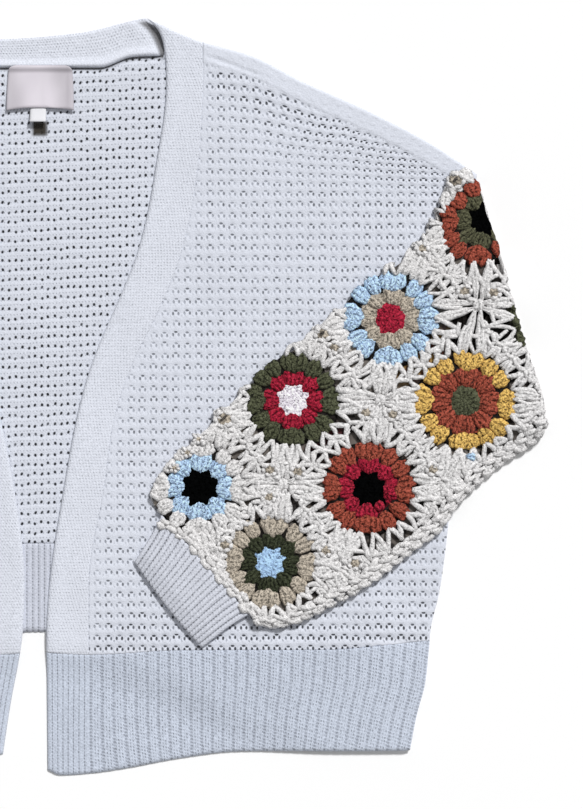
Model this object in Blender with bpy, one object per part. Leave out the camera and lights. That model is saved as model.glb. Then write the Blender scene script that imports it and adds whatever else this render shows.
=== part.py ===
"""A cropped crochet cardigan, laid flat on its back with both sleeves folded across the fronts.

Metres, +Z up. X runs across the garment to the wearer's left, Y from hem to neck, and the garment lies on the
plane Z = 0. Each wall starts as an open sheet whose Z holds its relief, so its underside stays plain.
"""

from collections import namedtuple
import math

import bmesh
import bpy
from mathutils import Matrix, Vector

# Walls, from the ground up
KNIT_WALL = 0.0025
CROCHET_WALL = 0.0026
TAPE_WALL = 0.001
SEAM_GAP = 0.0003
SOFT_EDGE = 0.0025
EDGE_DROP = 0.0011
FRONT_REST = KNIT_WALL + SEAM_GAP
FRONT_TOP = FRONT_REST + KNIT_WALL
SLEEVE_REST = FRONT_TOP + SEAM_GAP

# Body
SHOULDER_TIP = Vector((0.3073, 0.1558))
NECK_END_X = 0.0900
UNDERARM = Vector((0.2933, -0.0200))
SIDE_HEM_X = 0.2605
SIDE_HEM_Y = -0.2475
SIDE_RIB_TOP_Y = -0.1712
BACK_HEM_MID_Y = -0.1650
BACK_RIB_TOP_MID_Y = -0.1030
HEM_RAMP = 0.014
CLEAR_OF_HEM = 0.004
SHOULDER_TURN = 0.0140
SHOULDER_TURN_RISE = 0.0005
FRONT_HEAD = (0.0, SOFT_EDGE, SHOULDER_TURN, SHOULDER_TURN + 0.0015)
FRONT_STEPS = 14
FRONT_COLUMNS = 14
FIRST_TOP_Y = 0.0
FIRST_BOTTOM_Y = -0.2
CLOSEST_ROWS = 0.0004
SHOULDER_TURN_COLUMNS = 10

# Ribs of the hems, the neck band and the cuffs
RIB_RISE = 0.0006
WIDE_RIB_PITCH = 0.0078
NARROW_RIB_PITCH = 0.0038
NARROW_RIB_ZONE = 0.0300
BACK_RIB_PITCH = 0.0035
BACK_RIBS_LOW_X = -0.0088
BACK_RIB_COUNT = 4
BACK_STATIONS = (0.022, 0.040, 0.052, 0.064, 0.0796, 0.0825, 0.095, 0.115, 0.135, 0.155, 0.175, 0.195, 0.215, 0.24)
NECK_BAND_RIBS = 5
NECK_END_GAP = 0.0012
NECK_LAST_COLUMN = 0.98
NECK_MIDDLE_Y = 0.25
CUFF_RIBS = 16

# Sleeve, in its own frame: along runs from cuff to shoulder, across from the upper edge to the lower edge
SLEEVE_TURN_ANGLE = math.radians(41.4)
MOTIF_ORIGIN = Vector((0.2464, 0.0543))
SQUARE_ALONG = 0.0888
SQUARE_ACROSS = 0.0774
SLEEVE_UPPER_EDGE = -0.0300
SLEEVE_LOWER_EDGE = 0.1310
SLEEVE_SEAM_ALONG = -0.2100
CUFF_WALL = 0.0021
CUFF_SLIT = 0.0012
CUFF_FOLD_SHARE = 0.35
FOLD_TOP = Vector((0.3101, 0.1474))
FOLD_END = Vector((0.3556, -0.0130))
FOLD_CORNER = Vector((0.3563, -0.0190))
FOLD_CORNER_NORMAL = Vector((0.93, -0.36)).normalized()
SIDE_BELOW_UNDERARM = Vector((0.2877, -0.0865))
TURN_REACH = 0.040
SAG_RAMP = 0.015
SAG_CLEAR = 0.0015

# Round motif in each square
SPOKES = 24
FIRST_RING_CLUSTERS = 8
CLUSTER_RISE = 0.0011
MIDDLE_RISE = 0.0007
GROOVE_RISE = 0.0002
PETAL_RISE = 0.0008
JOIN_RISE = 0.0004
GAP_BORDER = 0.0021
WHOLE_CELL_SHARE = 0.45
JOIN_WIDTH = 0.0160

# Label and size tab
LABEL_HALF_WIDTH = 0.0230
LABEL_TOP_Y = 0.2300
LABEL_BOTTOM_Y = 0.2025
LABEL_LIFT = 0.0020
LABEL_TAPER = 0.06
LABEL_BOTTOM_BOW = 0.0016
LABEL_COLUMNS = 9
LABEL_ROWS = 6
TAB_LEFT_X = -0.0056
TAB_RIGHT_X = 0.0056
TAB_TOP_Y = 0.2048
TAB_BOTTOM_Y = 0.1922

BODY_KNIT = (0.83, 0.85, 0.89)
CROCHET_CREAM = (0.84, 0.82, 0.77)
SATIN = (0.80, 0.74, 0.75)
TAPE_WHITE = (0.88, 0.88, 0.88)

TurnPoint = namedtuple("TurnPoint", "x y")
EdgeRow = namedtuple("EdgeRow", "y left right")
ReachRow = namedtuple("ReachRow", "y x")
HemRow = namedtuple("HemRow", "x left right")
LineRow = namedtuple("LineRow", "x y")
SleeveRow = namedtuple("SleeveRow", "along upper lower")
RingRow = namedtuple("RingRow", "radius to_square")
LayerRow = namedtuple("LayerRow", "inset z")
CuffRow = namedtuple("CuffRow", "along middle half")

# Top of the shoulder, from the neck point to the tip
SHOULDER_LINE = (
    LineRow(0.0749, 0.2657),
    LineRow(0.1099, 0.2503),
    LineRow(0.1519, 0.2377),
    LineRow(0.1834, 0.2216),
    LineRow(0.2359, 0.1978),
    LineRow(0.2779, 0.1754),
    LineRow(0.3073, 0.1558),
)

# Free edge of each front, as a distance from the centre line
FRONT_EDGE = (
    EdgeRow(0.2657, 0.0756, 0.0756),
    EdgeRow(0.2566, 0.0840, 0.0840),
    EdgeRow(0.2370, 0.0889, 0.0889),
    EdgeRow(0.2181, 0.0896, 0.0896),
    EdgeRow(0.1607, 0.0822, 0.0822),
    EdgeRow(0.1260, 0.0760, 0.0760),
    EdgeRow(0.0984, 0.0686, 0.0686),
    EdgeRow(0.0760, 0.0598, 0.0598),
    EdgeRow(0.0277, 0.0392, 0.0392),
    EdgeRow(-0.0046, 0.0294, 0.0294),
    EdgeRow(-0.0662, 0.0175, 0.0165),
    EdgeRow(-0.1313, 0.0077, 0.0094),
    EdgeRow(-0.1705, 0.0056, 0.0115),
    EdgeRow(-0.2150, 0.0059, 0.0196),
    EdgeRow(-0.2640, 0.0063, 0.0270),
)

# Line where the front band ends and the openwork begins
BAND_LINE = (
    ReachRow(0.2480, 0.1155),
    ReachRow(0.2090, 0.1148),
    ReachRow(0.1495, 0.1099),
    ReachRow(0.0949, 0.0980),
    ReachRow(0.0557, 0.0819),
    ReachRow(0.0263, 0.0672),
    ReachRow(-0.0109, 0.0539),
    ReachRow(-0.0648, 0.0455),
    ReachRow(-0.1320, 0.0350),
    ReachRow(-0.1820, 0.0350),
)

# Armhole seam down to the underarm, then the side seam
SIDE_LINE = (
    ReachRow(0.1558, 0.3073),
    ReachRow(-0.0200, 0.2933),
    ReachRow(-0.0865, 0.2877),
    ReachRow(-0.1390, 0.2807),
    ReachRow(-0.1600, 0.2755),
    ReachRow(-0.1775, 0.2737),
    ReachRow(-0.2020, 0.2709),
    ReachRow(-0.2230, 0.2653),
    ReachRow(-0.2475, 0.2605),
)

# Top of the fronts' ribbed hems
RIB_TOP = (
    LineRow(0.0056, -0.1795),
    LineRow(0.0350, -0.1810),
    LineRow(0.1000, -0.1778),
    LineRow(0.2000, -0.1775),
    LineRow(0.2716, -0.1712),
)

# Lower edge of each front's hem
FRONT_HEM = (
    HemRow(0.0063, -0.2620, -0.2495),
    HemRow(0.0154, -0.2657, -0.2500),
    HemRow(0.0370, -0.2643, -0.2520),
    HemRow(0.0570, -0.2615, -0.2540),
    HemRow(0.0990, -0.2538, -0.2520),
    HemRow(0.1410, -0.2489, -0.2489),
    HemRow(0.2570, -0.2482, -0.2482),
    HemRow(0.2610, -0.2475, -0.2475),
)

# Upper and lower edge of the back neck's band
NECK_TOP = (
    LineRow(-0.0756, 0.2657),
    LineRow(-0.0570, 0.2585),
    LineRow(-0.0266, 0.2510),
    LineRow(0.0000, 0.2523),
    LineRow(0.0364, 0.2566),
    LineRow(0.0679, 0.2643),
    LineRow(0.0756, 0.2657),
)
NECK_SEAM = (
    LineRow(-0.0895, 0.2390),
    LineRow(-0.0650, 0.2380),
    LineRow(-0.0430, 0.2308),
    LineRow(0.0000, 0.2308),
    LineRow(0.0430, 0.2308),
    LineRow(0.0650, 0.2380),
    LineRow(0.0895, 0.2390),
)

# How far the sleeve reaches across at each place along it
SLEEVE_EDGES = (
    SleeveRow(-0.2100, -0.0030, 0.1000),
    SleeveRow(-0.2050, -0.0180, 0.1085),
    SleeveRow(-0.1930, -0.0280, 0.1165),
    SleeveRow(-0.1650, -0.0288, 0.1225),
    SleeveRow(-0.1260, -0.0300, 0.1272),
    SleeveRow(-0.0830, -0.0305, 0.1310),
    SleeveRow(0.0300, -0.0275, 0.1305),
    SleeveRow(0.0800, -0.0335, 0.1310),
    SleeveRow(0.0960, -0.0415, 0.1310),
    SleeveRow(0.1130, -0.0415, 0.1310),
)

# Cuff, from its seam to its end
CUFF_SECTIONS = (
    CuffRow(SLEEVE_SEAM_ALONG - SEAM_GAP, 0.0435, 0.0465),
    CuffRow(-0.2240, 0.0450, 0.0425),
    CuffRow(-0.2510, 0.0480, 0.0375),
)

# Loops of a square's motif, from the middle out: a radius, then how far it has turned square
MOTIF_LOOPS = (
    RingRow(0.0150, 0.0),
    RingRow(0.0205, 0.0),
    RingRow(0.0265, 0.0),
    RingRow(0.0330, 0.0),
    RingRow(0.0330, 0.5),
    RingRow(0.0330, 1.0),
)

# Edge of the turned stretch: two layers of crochet with a groove between them
TURN_LAYERS = (
    LayerRow(0.0016, 0.0),
    LayerRow(0.0000, FRONT_TOP * 0.24),
    LayerRow(0.0014, FRONT_TOP * 0.50),
    LayerRow(0.0000, FRONT_TOP * 0.76),
    LayerRow(0.0016, FRONT_TOP),
)
TURN_OUTLINE = (
    TurnPoint(0.3082, 0.1500),
    TurnPoint(0.3060, 0.1250),
    TurnPoint(0.2990, 0.0400),
    TurnPoint(0.2943, -0.0190),
    TurnPoint(0.3200, -0.0210),
    TurnPoint(0.3480, -0.0220),
    TurnPoint(0.3550, -0.0200),
    TurnPoint(0.3556, -0.0130),
    TurnPoint(0.3403, 0.0410),
    TurnPoint(0.3250, 0.0950),
    TurnPoint(0.3101, 0.1474),
)


def clamp(value, low, high):
    return max(low, min(high, value))


def mix(first, second, share):
    return first + (second - first) * share


def smooth_curve(places, values):
    """A function through the given values: cubic pieces between them, and flat past both ends."""
    knots = sorted(zip(places, values))
    xs = [knot[0] for knot in knots]
    ys = [knot[1] for knot in knots]
    chords = [(ys[i + 1] - ys[i]) / (xs[i + 1] - xs[i]) for i in range(len(xs) - 1)]
    slopes = [chords[0]]
    for before, after in zip(chords, chords[1:]):
        steepest = 3.0 * min(abs(before), abs(after))
        middle = 0.5 * (before + after)
        slopes.append(clamp(middle, -steepest, steepest) if before * after > 0.0 else 0.0)
    slopes.append(chords[-1])

    def curve(place):
        if place <= xs[0]:
            return ys[0]
        if place >= xs[-1]:
            return ys[-1]
        i = max(k for k in range(len(xs) - 1) if xs[k] <= place)
        span = xs[i + 1] - xs[i]
        t = (place - xs[i]) / span
        first = (1.0 + 2.0 * t) * (1.0 - t) ** 2 * ys[i] + t * (1.0 - t) ** 2 * span * slopes[i]
        second = t * t * (3.0 - 2.0 * t) * ys[i + 1] + t * t * (t - 1.0) * span * slopes[i + 1]
        return first + second

    return curve


def table_curve(rows, place, value):
    return smooth_curve([getattr(row, place) for row in rows], [getattr(row, value) for row in rows])


shoulder_y = table_curve(SHOULDER_LINE, "x", "y")
band_line_x = table_curve(BAND_LINE, "y", "x")
side_x = table_curve(SIDE_LINE, "y", "x")
rib_top_y = table_curve(RIB_TOP, "x", "y")
neck_top_y = table_curve(NECK_TOP, "x", "y")
neck_seam_y = table_curve(NECK_SEAM, "x", "y")
front_edge_x = {side: table_curve(FRONT_EDGE, "y", side) for side in ("left", "right")}
front_hem_y = {side: table_curve(FRONT_HEM, "x", side) for side in ("left", "right")}
sleeve_upper = table_curve(SLEEVE_EDGES, "along", "upper")
sleeve_lower = table_curve(SLEEVE_EDGES, "along", "lower")


def arch(x, middle, side):
    """The back's hem rises from the side seams to the middle as a half wave."""
    share = clamp(abs(x) / SIDE_HEM_X, 0.0, 1.0)
    return mix(middle, side, 0.5 * (1.0 - math.cos(math.pi * share)))


def back_hem_y(x):
    return arch(x, BACK_HEM_MID_Y, SIDE_HEM_Y)


def back_rib_top_y(x):
    return arch(x, BACK_RIB_TOP_MID_Y, SIDE_RIB_TOP_Y)


def back_top_y(x):
    """The neck seam in the middle, and the shoulder line past the neck band's ends."""
    if abs(x) <= NECK_END_X:
        return neck_seam_y(x) - SEAM_GAP
    return shoulder_y(abs(x))


def front_rest(x, y):
    """Height under a front: on the back, then down to the ground past the back's hem."""
    past = back_hem_y(x) - CLEAR_OF_HEM - y
    return FRONT_REST * (1.0 - clamp(past / HEM_RAMP, 0.0, 1.0))


def ground_rest(x, y):
    return 0.0


def sleeve_sag(x, y):
    """How far the folded sleeve has come down where neither the body nor the turned stretch lies under it."""
    past_side = x - side_x(y) - SAG_CLEAR
    past_turn = turn_foot_y(x) - SAG_CLEAR - y
    return clamp(min(past_side, past_turn) / SAG_RAMP, 0.0, 1.0)


def turn_foot_y(x):
    share = (x - UNDERARM.x) / (FOLD_CORNER.x - UNDERARM.x)
    return mix(UNDERARM.y, FOLD_CORNER.y, share)


def sleeve_rest(x, y):
    return SLEEVE_REST * (1.0 - sleeve_sag(x, y))


def grid_sheet(columns, rows, place):
    """An open sheet of columns x rows points, each put where place(column, row) says."""
    sheet = bmesh.new()
    bmesh.ops.create_grid(sheet, x_segments=columns - 1, y_segments=rows - 1, size=0.5)
    for vert in sheet.verts:
        column = round((vert.co.x + 0.5) * (columns - 1))
        row = round((0.5 - vert.co.y) * (rows - 1))
        vert.co = place(column, row)
    return sheet


def thicken(sheet, rest, wall):
    """Closes a sheet into a wall: a plain underside at rest(x, y), and the sheet's relief on top."""
    made = bmesh.ops.extrude_face_region(sheet, geom=sheet.faces[:], use_keep_orig=True)
    upper = {item for item in made["geom"] if isinstance(item, bmesh.types.BMVert)}
    for vert in sheet.verts:
        relief = vert.co.z
        vert.co.z = rest(vert.co.x, vert.co.y)
        if vert in upper:
            vert.co.z += wall + relief
    bmesh.ops.recalc_face_normals(sheet, faces=sheet.faces[:])


def new_material(name, colour, roughness):
    material = bpy.data.materials.new(name)
    material.use_nodes = True
    shader = material.node_tree.nodes["Principled BSDF"]
    shader.inputs["Base Color"].default_value = (*colour, 1.0)
    shader.inputs["Roughness"].default_value = roughness
    shader.inputs["Metallic"].default_value = 0.0
    material.diffuse_color = (*colour, 1.0)
    return material


def add_object(name, mesh_data, colour, roughness=0.9):
    """A named object with its own material, in the cardigan's collection."""
    mesh = bpy.data.meshes.new(name)
    mesh_data.to_mesh(mesh)
    mesh_data.free()
    mesh.materials.append(new_material(name + "_finish", colour, roughness))
    cardigan.objects.link(bpy.data.objects.new(name, mesh))


def row_heights(top, bottom, head, steps, foot):
    """Heights down one column: offsets from the top, equal steps, then the foot's own heights, in order."""
    start = top - head[-1]
    end = max(bottom, min(start, foot[0])) if foot else bottom
    heights = [top - offset for offset in head]
    heights += [mix(start, end, step / steps) for step in range(1, steps)]
    for count, height in enumerate(foot):
        left_over = len(foot) - count
        heights.append(clamp(height, bottom + left_over * CLOSEST_ROWS, heights[-1] - CLOSEST_ROWS))
    heights.append(bottom)
    return heights


def add_panel(name, inner, outer, top, bottom, columns, reliefs, head, steps, foot, rest, side, edges):
    """A knit wall between two side lines, a top line and a bottom line.

    columns holds each column's share of the way from inner to outer, and reliefs its height over the wall.
    head lists offsets below the top line and foot the heights above the bottom. edges names the free edges,
    whose corner is rounded off.
    """
    grid = []
    for share in columns:
        y_top = FIRST_TOP_Y
        y_bottom = FIRST_BOTTOM_Y
        for _ in range(6):
            y_top = top(mix(inner(y_top), outer(y_top), share))
            y_bottom = bottom(mix(inner(y_bottom), outer(y_bottom), share))
        x_bottom = mix(inner(y_bottom), outer(y_bottom), share)
        grid.append(row_heights(y_top, y_bottom, head, steps, foot(x_bottom)))
    rows = len(grid[0])

    def place(column, row):
        y = grid[column][row]
        x = mix(inner(y), outer(y), columns[column])
        relief = reliefs(column, row)
        last = len(columns) - 1
        on_edge = {"inner": column == 0, "outer": column == last, "top": row == 0, "bottom": row == rows - 1}
        if any(on_edge[edge] for edge in edges):
            relief = min(relief, 0.0) - EDGE_DROP
        return Vector((side * x, y, relief))

    sheet = grid_sheet(len(columns), rows, place)
    thicken(sheet, rest, KNIT_WALL)
    add_object(name, sheet, BODY_KNIT)


def even_columns(count, inner_width=None, outer_width=None, width=0.2):
    """Equal shares of a panel's width, with one more beside each free edge."""
    shares = [step / count for step in range(count + 1)]
    if inner_width:
        shares.insert(1, inner_width / width)
    if outer_width:
        shares.insert(-1, 1.0 - outer_width / width)
    return shares


def plain(column, row):
    return 0.0


def shifted(curve, offset):
    return lambda place: curve(place) + offset


def hem_ramp_rows(x):
    """Where a front's underside leaves the back's hem and where it meets the ground."""
    start = back_hem_y(x) - CLEAR_OF_HEM
    return [start, start - HEM_RAMP]


def hem_ramp_and_edge(x, hem):
    return hem_ramp_rows(x) + [hem(x) + SOFT_EDGE]


def back_columns():
    """Shares and rises of the columns that the back and its hem have in common, with the ribs that show."""
    ribs = []
    for count in range(2 * BACK_RIB_COUNT + 1):
        ribs.append((BACK_RIBS_LOW_X + count * BACK_RIB_PITCH / 2.0, RIB_RISE if count % 2 else 0.0))
    outside = [(side * x, 0.0) for x in BACK_STATIONS for side in (-1.0, 1.0)]
    stations = sorted(ribs + outside)
    rib_top_half = side_x(SIDE_RIB_TOP_Y)
    shares = [0.0] + [0.5 + 0.5 * x / rib_top_half for x, _ in stations] + [1.0]
    return shares, [0.0] + [rise for _, rise in stations] + [0.0]


def add_back():
    shares, _ = back_columns()
    add_panel(
        "back_panel",
        inner=lambda y: -side_x(y),
        outer=side_x,
        top=back_top_y,
        bottom=shifted(back_rib_top_y, SEAM_GAP),
        columns=shares,
        reliefs=plain,
        head=(0.0,),
        steps=9,
        foot=lambda x: [],
        rest=ground_rest,
        side=1.0,
        edges=(),
    )


def add_back_hem():
    """Its ribs are raised between the fronts' edges, where they show."""
    shares, rises = back_columns()
    add_panel(
        "back_hem",
        inner=lambda y: -side_x(y),
        outer=side_x,
        top=back_rib_top_y,
        bottom=back_hem_y,
        columns=shares,
        reliefs=lambda column, row: rises[column],
        head=(0.0,),
        steps=4,
        foot=lambda x: [],
        rest=ground_rest,
        side=1.0,
        edges=(),
    )


def shoulder_turn_relief(column, row):
    """The shoulder seam lies just in front of the top line: a strip of the back's knit comes over."""
    return SHOULDER_TURN_RISE if row in (1, 2) and column <= SHOULDER_TURN_COLUMNS else 0.0


def add_front(name, side):
    add_panel(
        name + "_front",
        inner=shifted(band_line_x, SEAM_GAP),
        outer=side_x,
        top=shoulder_y,
        bottom=shifted(rib_top_y, SEAM_GAP),
        columns=even_columns(FRONT_COLUMNS, outer_width=SOFT_EDGE),
        reliefs=shoulder_turn_relief,
        head=FRONT_HEAD,
        steps=FRONT_STEPS,
        foot=hem_ramp_rows,
        rest=front_rest,
        side=side,
        edges=("outer", "top"),
    )


def add_front_band(name, side):
    add_panel(
        name + "_front_band",
        inner=front_edge_x[name],
        outer=band_line_x,
        top=shoulder_y,
        bottom=shifted(rib_top_y, SEAM_GAP),
        columns=even_columns(3, inner_width=SOFT_EDGE, width=0.032),
        reliefs=plain,
        head=FRONT_HEAD,
        steps=FRONT_STEPS,
        foot=hem_ramp_rows,
        rest=front_rest,
        side=side,
        edges=("inner", "top"),
    )


def hem_rib_columns(width):
    """Narrow ribs beside the free edge, then wide flat ribs to the side seam: a share and rise each."""
    points = [(0.0, 0.0)]
    narrow_count = round(NARROW_RIB_ZONE / NARROW_RIB_PITCH)
    for count in range(narrow_count):
        points.append(((count + 0.5) * NARROW_RIB_PITCH, RIB_RISE))
        points.append(((count + 1.0) * NARROW_RIB_PITCH, 0.0))
    wide_start = points[-1][0]
    wide_count = round((width - wide_start) / WIDE_RIB_PITCH)
    pitch = (width - wide_start) / wide_count
    for count in range(wide_count):
        points.append((wide_start + (count + 0.25) * pitch, RIB_RISE))
        points.append((wide_start + (count + 0.75) * pitch, RIB_RISE))
        points.append((wide_start + (count + 1.0) * pitch, 0.0))
    return [(x / width, rise) for x, rise in points]


def add_front_hem(name, side):
    width = side_x(SIDE_RIB_TOP_Y) - front_edge_x[name](SIDE_RIB_TOP_Y)
    ribs = hem_rib_columns(width)
    hem = front_hem_y[name]
    add_panel(
        name + "_front_hem",
        inner=front_edge_x[name],
        outer=side_x,
        top=rib_top_y,
        bottom=hem,
        columns=[share for share, _ in ribs],
        reliefs=lambda column, row: ribs[column][1],
        head=(0.0,),
        steps=2,
        foot=lambda x: hem_ramp_and_edge(x, hem),
        rest=front_rest,
        side=side,
        edges=("inner", "outer", "bottom"),
    )


def neck_columns():
    """The back's own columns between the neck band's ends, as shares of the band's half width."""
    shares, _ = back_columns()
    half = front_edge_x["left"](neck_seam_y(NECK_END_X)) - NECK_END_GAP
    reaches = [(2.0 * share - 1.0) * SHOULDER_TIP.x / half for share in shares]
    return [-1.0] + [reach for reach in reaches if abs(reach) < NECK_LAST_COLUMN] + [1.0]


def add_neck_band():
    """The inside of the back neck's band shows, with fine ribs along its upper two thirds."""
    rows = 2 * NECK_BAND_RIBS + 3
    columns = neck_columns()

    def place(column, row):
        down = row / (rows - 1)
        y = NECK_MIDDLE_Y
        for _ in range(4):
            x = columns[column] * (front_edge_x["left"](y) - NECK_END_GAP)
            y = mix(neck_top_y(x), neck_seam_y(x), down)
        ribbed = row <= 2 * NECK_BAND_RIBS and row % 2 == 1
        relief = -EDGE_DROP if row == 0 else (RIB_RISE if ribbed else 0.0)
        return Vector((x, y, relief))

    sheet = grid_sheet(len(columns), rows, place)
    thicken(sheet, ground_rest, KNIT_WALL)
    add_object("neck_band", sheet, BODY_KNIT)


def to_world(along, across):
    """A place on the sleeve, from the sleeve's own frame to the garment's."""
    cos, sin = math.cos(SLEEVE_TURN_ANGLE), math.sin(SLEEVE_TURN_ANGLE)
    return Vector((MOTIF_ORIGIN.x + along * cos + across * sin, MOTIF_ORIGIN.y + along * sin - across * cos))


def motif_relief(loop, spoke):
    """Height of a motif's loop at one spoke: clusters in two rings, then a petal along each diagonal."""
    per_cluster = SPOKES // FIRST_RING_CLUSTERS
    diagonal = spoke % 6 == 3
    if loop == 0:
        return GROOVE_RISE if spoke % per_cluster == 0 else CLUSTER_RISE
    if loop == 1:
        return GROOVE_RISE
    if loop == 2:
        return CLUSTER_RISE if spoke % 2 else GROOVE_RISE * 2.0
    if loop == 3:
        return PETAL_RISE if diagonal else 0.0
    if loop == 4:
        return PETAL_RISE if diagonal else 0.0
    return PETAL_RISE if diagonal else JOIN_RISE


def square_point(spoke):
    """Where a spoke meets the square's border, at equal steps along each side."""
    eighth = SPOKES // 8
    turned = (spoke + eighth) % SPOKES
    side, step = divmod(turned, 2 * eighth)
    share = step / eighth - 1.0
    corners = ((1.0, share), (-share, 1.0), (-1.0, -share), (share, -1.0))
    along, across = corners[side]
    return Vector((along * SQUARE_ALONG / 2.0, across * SQUARE_ACROSS / 2.0))


def extrude_rim(sheet, rim):
    """Extrudes a closed rim of points once: the new rim in the same order, and the new faces."""
    edges = [sheet.edges.get((point, rim[(index + 1) % len(rim)])) for index, point in enumerate(rim)]
    made = bmesh.ops.extrude_edge_only(sheet, edges=edges)["geom"]
    fresh = {item for item in made if isinstance(item, bmesh.types.BMVert)}
    faces = [item for item in made if isinstance(item, bmesh.types.BMFace)]
    new_rim = [next(e.other_vert(v) for e in v.link_edges if e.other_vert(v) in fresh) for v in rim]
    return new_rim, faces


def round_rim(sheet, count, filled):
    """A circle of points in order round it, for its caller to place, and a middle point if filled."""
    made = bmesh.ops.create_circle(sheet, cap_ends=filled, cap_tris=filled, segments=count, radius=1.0)
    verts = made["verts"]
    rim = sorted((v for v in verts if v.co.length > 0.5), key=lambda v: math.atan2(v.co.y, v.co.x) % math.tau)
    return rim, [v for v in verts if v.co.length <= 0.5]


def add_square(sheet, along, across):
    """One crochet square: loops of points extruded outwards from the middle of its motif."""
    rim, middle = round_rim(sheet, SPOKES, filled=True)
    verts = rim + middle
    for loop, ring in enumerate(MOTIF_LOOPS):
        if loop:
            rim, faces = extrude_rim(sheet, rim)
            verts += rim
            if loop == len(MOTIF_LOOPS) - 1:
                for face in faces:
                    face.material_index = 1
        for spoke, vert in enumerate(rim):
            angle = math.tau * spoke / SPOKES
            round_point = Vector((math.cos(angle), math.sin(angle))) * ring.radius
            point = round_point.lerp(square_point(spoke), ring.to_square)
            vert.co = Vector((point.x, point.y, motif_relief(loop, spoke)))
    for vert in middle:
        vert.co = Vector((0.0, 0.0, MIDDLE_RISE))
    for vert in verts:
        vert.co.x += along
        vert.co.y += across


def squeeze_to_edges(point):
    """Fits the even sheet of squares to the sleeve's own edges, which close in at the cuff."""
    upper, lower = sleeve_upper(point.x), sleeve_lower(point.x)
    share = (point.y - SLEEVE_UPPER_EDGE) / (SLEEVE_LOWER_EDGE - SLEEVE_UPPER_EDGE)
    flat = to_world(point.x, mix(upper, lower, share))
    return Vector((flat.x, flat.y, point.z))


def cut_line(sheet, point, normal, clear=True):
    """Cuts the sheet along an upright plane, and takes away what lies in front of it."""
    geometry = sheet.verts[:] + sheet.edges[:] + sheet.faces[:]
    bmesh.ops.bisect_plane(
        sheet,
        geom=geometry,
        dist=1e-6,
        plane_co=(point[0], point[1], 0.0),
        plane_no=(normal[0], normal[1], 0.0),
        clear_outer=clear,
    )


def add_soft_border(sheet, point, normal):
    """Cuts along a line that becomes a rounded edge, with one more line inside it and a drop at the edge."""
    inside = Vector(point) - SOFT_EDGE * Vector(normal)
    cut_line(sheet, inside, normal, clear=False)
    cut_line(sheet, point, normal)
    for vert in sheet.verts:
        if abs((vert.co.xy - Vector(point)).dot(Vector(normal))) < 1e-5:
            vert.co.z = -EDGE_DROP


def sleeve_sheet(gaps):
    """The crochet of one sleeve's flat side, in the garment's frame, with its gaps cut if asked."""
    sheet = bmesh.new()
    for column in range(-2, 2):
        for row in range(2):
            add_square(sheet, column * SQUARE_ALONG, row * SQUARE_ACROSS)
    bmesh.ops.remove_doubles(sheet, verts=sheet.verts[:], dist=1e-5)
    add_lower_join(sheet)
    add_soft_border(sheet, (0.0, SLEEVE_UPPER_EDGE), (0.0, -1.0))
    add_soft_border(sheet, (0.0, SLEEVE_LOWER_EDGE), (0.0, 1.0))
    cut_line(sheet, (SLEEVE_SEAM_ALONG, 0.0), (-1.0, 0.0))
    for vert in sheet.verts:
        vert.co = squeeze_to_edges(vert.co)
    add_soft_border(sheet, FOLD_END, outward(FOLD_TOP, FOLD_END))
    add_soft_border(sheet, FOLD_CORNER, FOLD_CORNER_NORMAL)
    cut_line(sheet, SHOULDER_TIP, outward(SHOULDER_TIP, FOLD_TOP))
    if gaps:
        cut_gaps(sheet)
    for reach in (SAG_CLEAR, SAG_CLEAR + SAG_RAMP):
        cut_line(sheet, (UNDERARM.x + reach, UNDERARM.y), outward(UNDERARM, SIDE_BELOW_UNDERARM), clear=False)
        cut_line(sheet, (UNDERARM.x, UNDERARM.y - reach), outward(FOLD_CORNER, UNDERARM), clear=False)
    return sheet


def outward(start, end):
    """The level direction to the left of the way from start to end, which is outwards here."""
    way = (Vector(end) - Vector(start)).normalized()
    return Vector((-way.y, way.x))


def add_lower_join(sheet):
    """The joined chains along the sleeve's lower edge, past the last row of squares."""
    last_row = 1.5 * SQUARE_ACROSS
    border = [e for e in sheet.edges if all(abs(v.co.y - last_row) < 1e-5 for v in e.verts)]
    for reach, relief in ((JOIN_WIDTH / 2.0, 0.0), (JOIN_WIDTH, GROOVE_RISE)):
        made = bmesh.ops.extrude_edge_only(sheet, edges=border)["geom"]
        fresh = {item for item in made if isinstance(item, bmesh.types.BMVert)}
        for vert in fresh:
            vert.co.y = last_row + reach
            vert.co.z = relief
        border = [e for e in made if isinstance(e, bmesh.types.BMEdge) and all(v in fresh for v in e.verts)]


def cut_gaps(sheet):
    """Opens the lace on both sides of each petal, where a whole cell of a square's border is left."""
    cells = [f for f in sheet.faces if f.material_index == 1 and len(f.verts) == 4 and beside_corner(f)]
    largest = max(face.calc_area() for face in cells)
    whole = [f for f in cells if f.calc_area() > WHOLE_CELL_SHARE * largest and lies_level(f)]
    bmesh.ops.inset_individual(sheet, faces=whole, thickness=GAP_BORDER, use_even_offset=True)
    bmesh.ops.delete(sheet, geom=whole, context="FACES")


def lies_level(face):
    return all(sleeve_sag(vert.co.x, vert.co.y) == 0.0 for vert in face.verts)


def beside_corner(face):
    """Whether a border cell touches a petal's diagonal, which stands higher than the joins."""
    return any(abs(vert.co.z - PETAL_RISE) < 1e-6 for vert in face.verts)


def add_sleeve_wall(name, side, wall, rest):
    for face in wall.faces:
        face.material_index = 0
    thicken(wall, rest, CROCHET_WALL)
    if side < 0:
        bmesh.ops.transform(wall, matrix=Matrix.Scale(-1.0, 4, (1.0, 0.0, 0.0)), verts=wall.verts[:])
        bmesh.ops.recalc_face_normals(wall, faces=wall.faces[:])
    add_object(name, wall, CROCHET_CREAM)


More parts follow.
